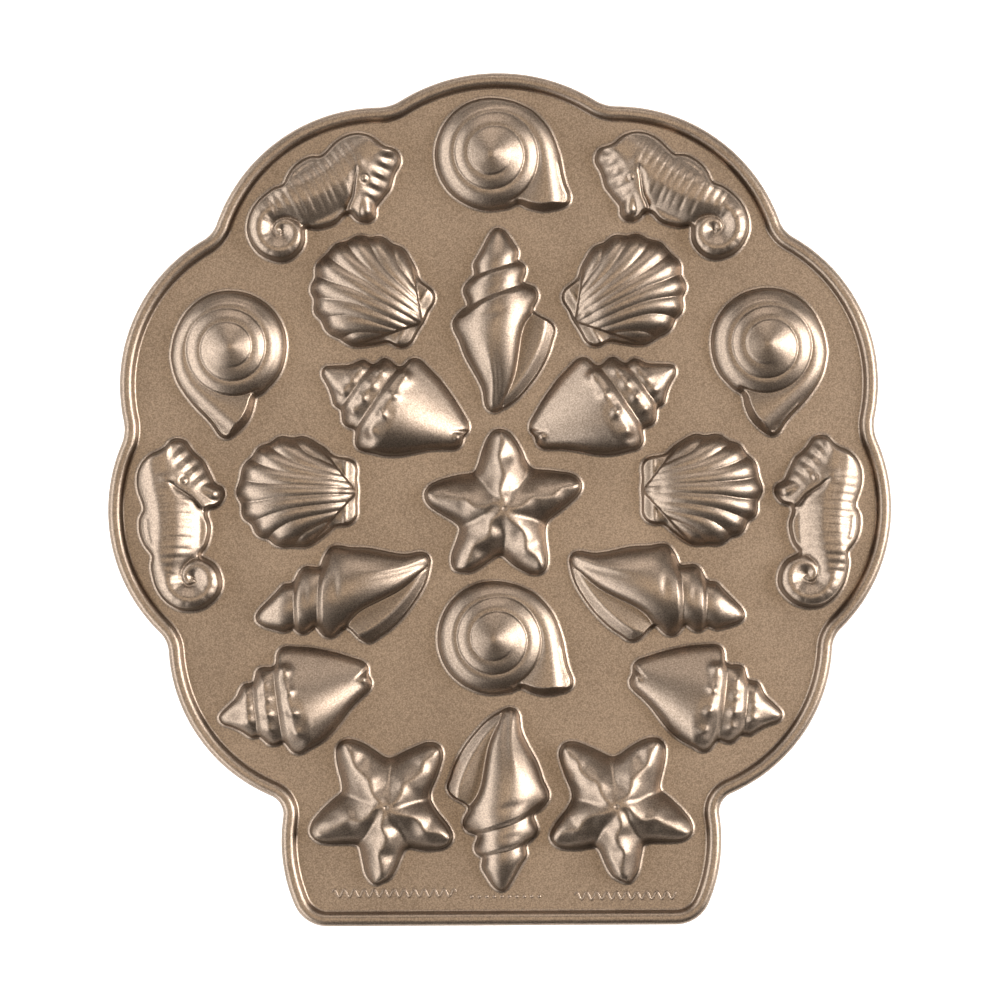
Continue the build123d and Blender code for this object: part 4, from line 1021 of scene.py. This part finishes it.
# ---------------------------------------------------------------- deck
loops = [DECK_EDGE] + deck_holes
G = hexgrid(DECK_EDGE.min(0), DECK_EDGE.max(0), 4.0)
ok = inside(G, DECK_EDGE) & (near(G, DECK_EDGE, True)[0] > 1.5)
for H in deck_holes:
    ok &= ~inside(G, H) & (near(G, H, True)[0] > 1.2)
V, F = triangles(np.vstack(loops + [G[ok]]), [len(x) for x in loops])
c = V[F].mean(1)
ok = inside(c, DECK_EDGE)
for H in deck_holes:
    ok &= ~inside(c, H)
F = F[ok]
edges = border(V, F)
top = np.c_[V, np.full(len(V), DECK_TOP)]
bottom = np.c_[V, np.full(len(V), DECK_UNDER)]
V3, F3, Q3, sharp = stack(top, bottom, [(e, e) for e in edges], F, F)
show("deck_plate_skin", new_mesh("deck_plate_skin", V3, F3, Q3, sharp), "deck_plate", metal)

# ---------------------------------------------------------------- ornament on the base
def ribbon(mid, half, high):
    """Low rounded ridge along a line, standing on the deck."""
    T = np.gradient(mid, axis=0)
    T /= np.hypot(*T.T)[:, None]
    Nn = np.c_[-T[:, 1], T[:, 0]]
    s = np.linspace(0, len(mid) - 1, len(mid))
    taper = np.minimum(1, np.minimum(s, s[::-1]) / 3.0) ** 0.5
    rows = []
    for q, h in ((-1.0, 0.0), (-0.86, 0.45), (-0.5, 0.85), (0.0, 1.0), (0.5, 0.85), (0.86, 0.45), (1.0, 0.0)):
        rows.append(np.c_[mid + Nn * (half * q * taper)[:, None], DECK_TOP - 0.02 + high * h * (0.3 + 0.7 * taper)])
    n, m = len(rows), len(mid)
    V = np.vstack(rows)
    Q = [(a * m + i, a * m + i + 1, (a + 1) * m + i + 1, (a + 1) * m + i) for a in range(n - 1) for i in range(m - 1)]
    Q += [((n - 1) * m + i, (n - 1) * m + i + 1, i + 1, i) for i in range(m - 1)]
    e0, e1 = [a * m for a in range(n)], [a * m + m - 1 for a in range(n)]
    T3 = [(e0[0], e0[a + 1], e0[a]) for a in range(1, n - 1)] + [(e1[0], e1[a], e1[a + 1]) for a in range(1, n - 1)]
    return V, Q, T3


def bead(cx, cy, r, high):
    rows, m = [], 24
    for q, h in ((1.0, 0.0), (0.92, 0.42), (0.72, 0.74), (0.42, 0.94), (0.12, 1.0)):
        a = np.arange(m) * 2 * math.pi / m
        rows.append(np.c_[cx + r * q * np.cos(a), cy + r * q * np.sin(a), np.full(m, DECK_TOP - 0.02 + high * h)])
    V = np.vstack(rows + [[[cx, cy, DECK_TOP - 0.02 + high * 1.005]], [[cx, cy, DECK_TOP - 0.02]]])
    Q = [(k * m + i, k * m + (i + 1) % m, (k + 1) * m + (i + 1) % m, (k + 1) * m + i) for k in range(4) for i in range(m)]
    T3 = [(4 * m + i, 4 * m + (i + 1) % m, 5 * m) for i in range(m)] + [((i + 1) % m, i, 5 * m + 1) for i in range(m)]
    return V, Q, T3


VV, QQ, TT, base = [], [], [], 0
pieces = []
for x0, x1, y in ((-68.0, -18.0, -157.3), (29.0, 70.0, -158.8)):
    xs = np.arange(x0, x1 + 0.01, 0.25)
    mid = np.c_[xs, y + 1.5 * np.sin(2 * math.pi * (xs - x0) / 4.0)]
    pieces.append(ribbon(mid, 0.5, 0.40))
for i in range(10):
    pieces.append(bead(-12.0 + 3.0 * i, -158.9, 0.75, 0.42))
for V, Q, T3 in pieces:
    VV.append(V)
    QQ += [tuple(q + base for q in f) for f in Q]
    TT += [tuple(q + base for q in f) for f in T3]
    base += len(V)
show("base_ornament_skin", new_mesh("base_ornament_skin", np.vstack(VV), TT, QQ), "base_ornament", metal)

# ---------------------------------------------------------------- stage, lights, camera
n = 40
xs = np.linspace(-1600, 1600, n)
X, Y = np.meshgrid(xs, xs, indexing="ij")
fv = np.c_[X.ravel(), Y.ravel(), np.full(n * n, -0.15)]
fq = [(i * n + k, (i + 1) * n + k, (i + 1) * n + k + 1, i * n + k + 1) for i in range(n - 1) for k in range(n - 1)]
fm = new_mesh("studio_floor", fv, [], fq)
floor = bpy.data.objects.new("studio_floor", fm)
bpy.context.scene.collection.objects.link(floor)
fm.materials.append(floor_material())


def softbox(name, place, aim, width, height, power, colour):
    li = bpy.data.lights.new(name, "AREA")
    li.shape = "RECTANGLE"
    li.size, li.size_y = width, height
    li.energy = power
    li.color = colour
    ob = bpy.data.objects.new(name, li)
    ob.location = place
    ob.rotation_euler = (Vector(aim) - Vector(place)).to_track_quat("-Z", "Y").to_euler()
    bpy.context.scene.collection.objects.link(ob)
    return ob


softbox("softbox_right", (1.66, 0.10, 1.235), (0, 0, 0), 1.17, 1.17, 76.0, (1.0, 0.985, 0.97))
softbox("softbox_left", (-1.35, -0.25, 0.95), (0, 0, 0), 3.4, 1.0, 54.0, (0.98, 0.99, 1.0))
softbox("softbox_back", (0.0, 1.35, 1.05), (0, 0, 0), 1.2, 0.7, 9.5, (1.0, 0.94, 0.88))
softbox("softbox_top", (0.0, 0.0, 2.6), (0, 0, 0), 1.6, 1.6, 16.0, (1.0, 0.85, 0.66))

world = bpy.data.worlds.new("studio_air")
world.use_nodes = True
bg = world.node_tree.nodes["Background"]
bg.inputs["Color"].default_value = (1.0, 0.88, 0.72, 1)
bg.inputs["Strength"].default_value = 0.022
bpy.context.scene.world = world

cam = bpy.data.cameras.new("camera")
cam.sensor_fit = "HORIZONTAL"
cam.sensor_width = 36.0
cam.lens = 36.0 * 2.0 / 0.400
cam.clip_start, cam.clip_end = 0.1, 10.0
co = bpy.data.objects.new("camera", cam)
co.location = (0.00015, -0.00030, 2.0 + DECK_TOP * MM)
co.rotation_euler = (0, 0, math.radians(-0.314))
bpy.context.scene.collection.objects.link(co)
bpy.context.scene.camera = co

sc = bpy.context.scene
sc.view_settings.view_transform = "Standard"
sc.view_settings.look = "None"
sc.view_settings.exposure = 0.0
sc.view_settings.gamma = 1.0
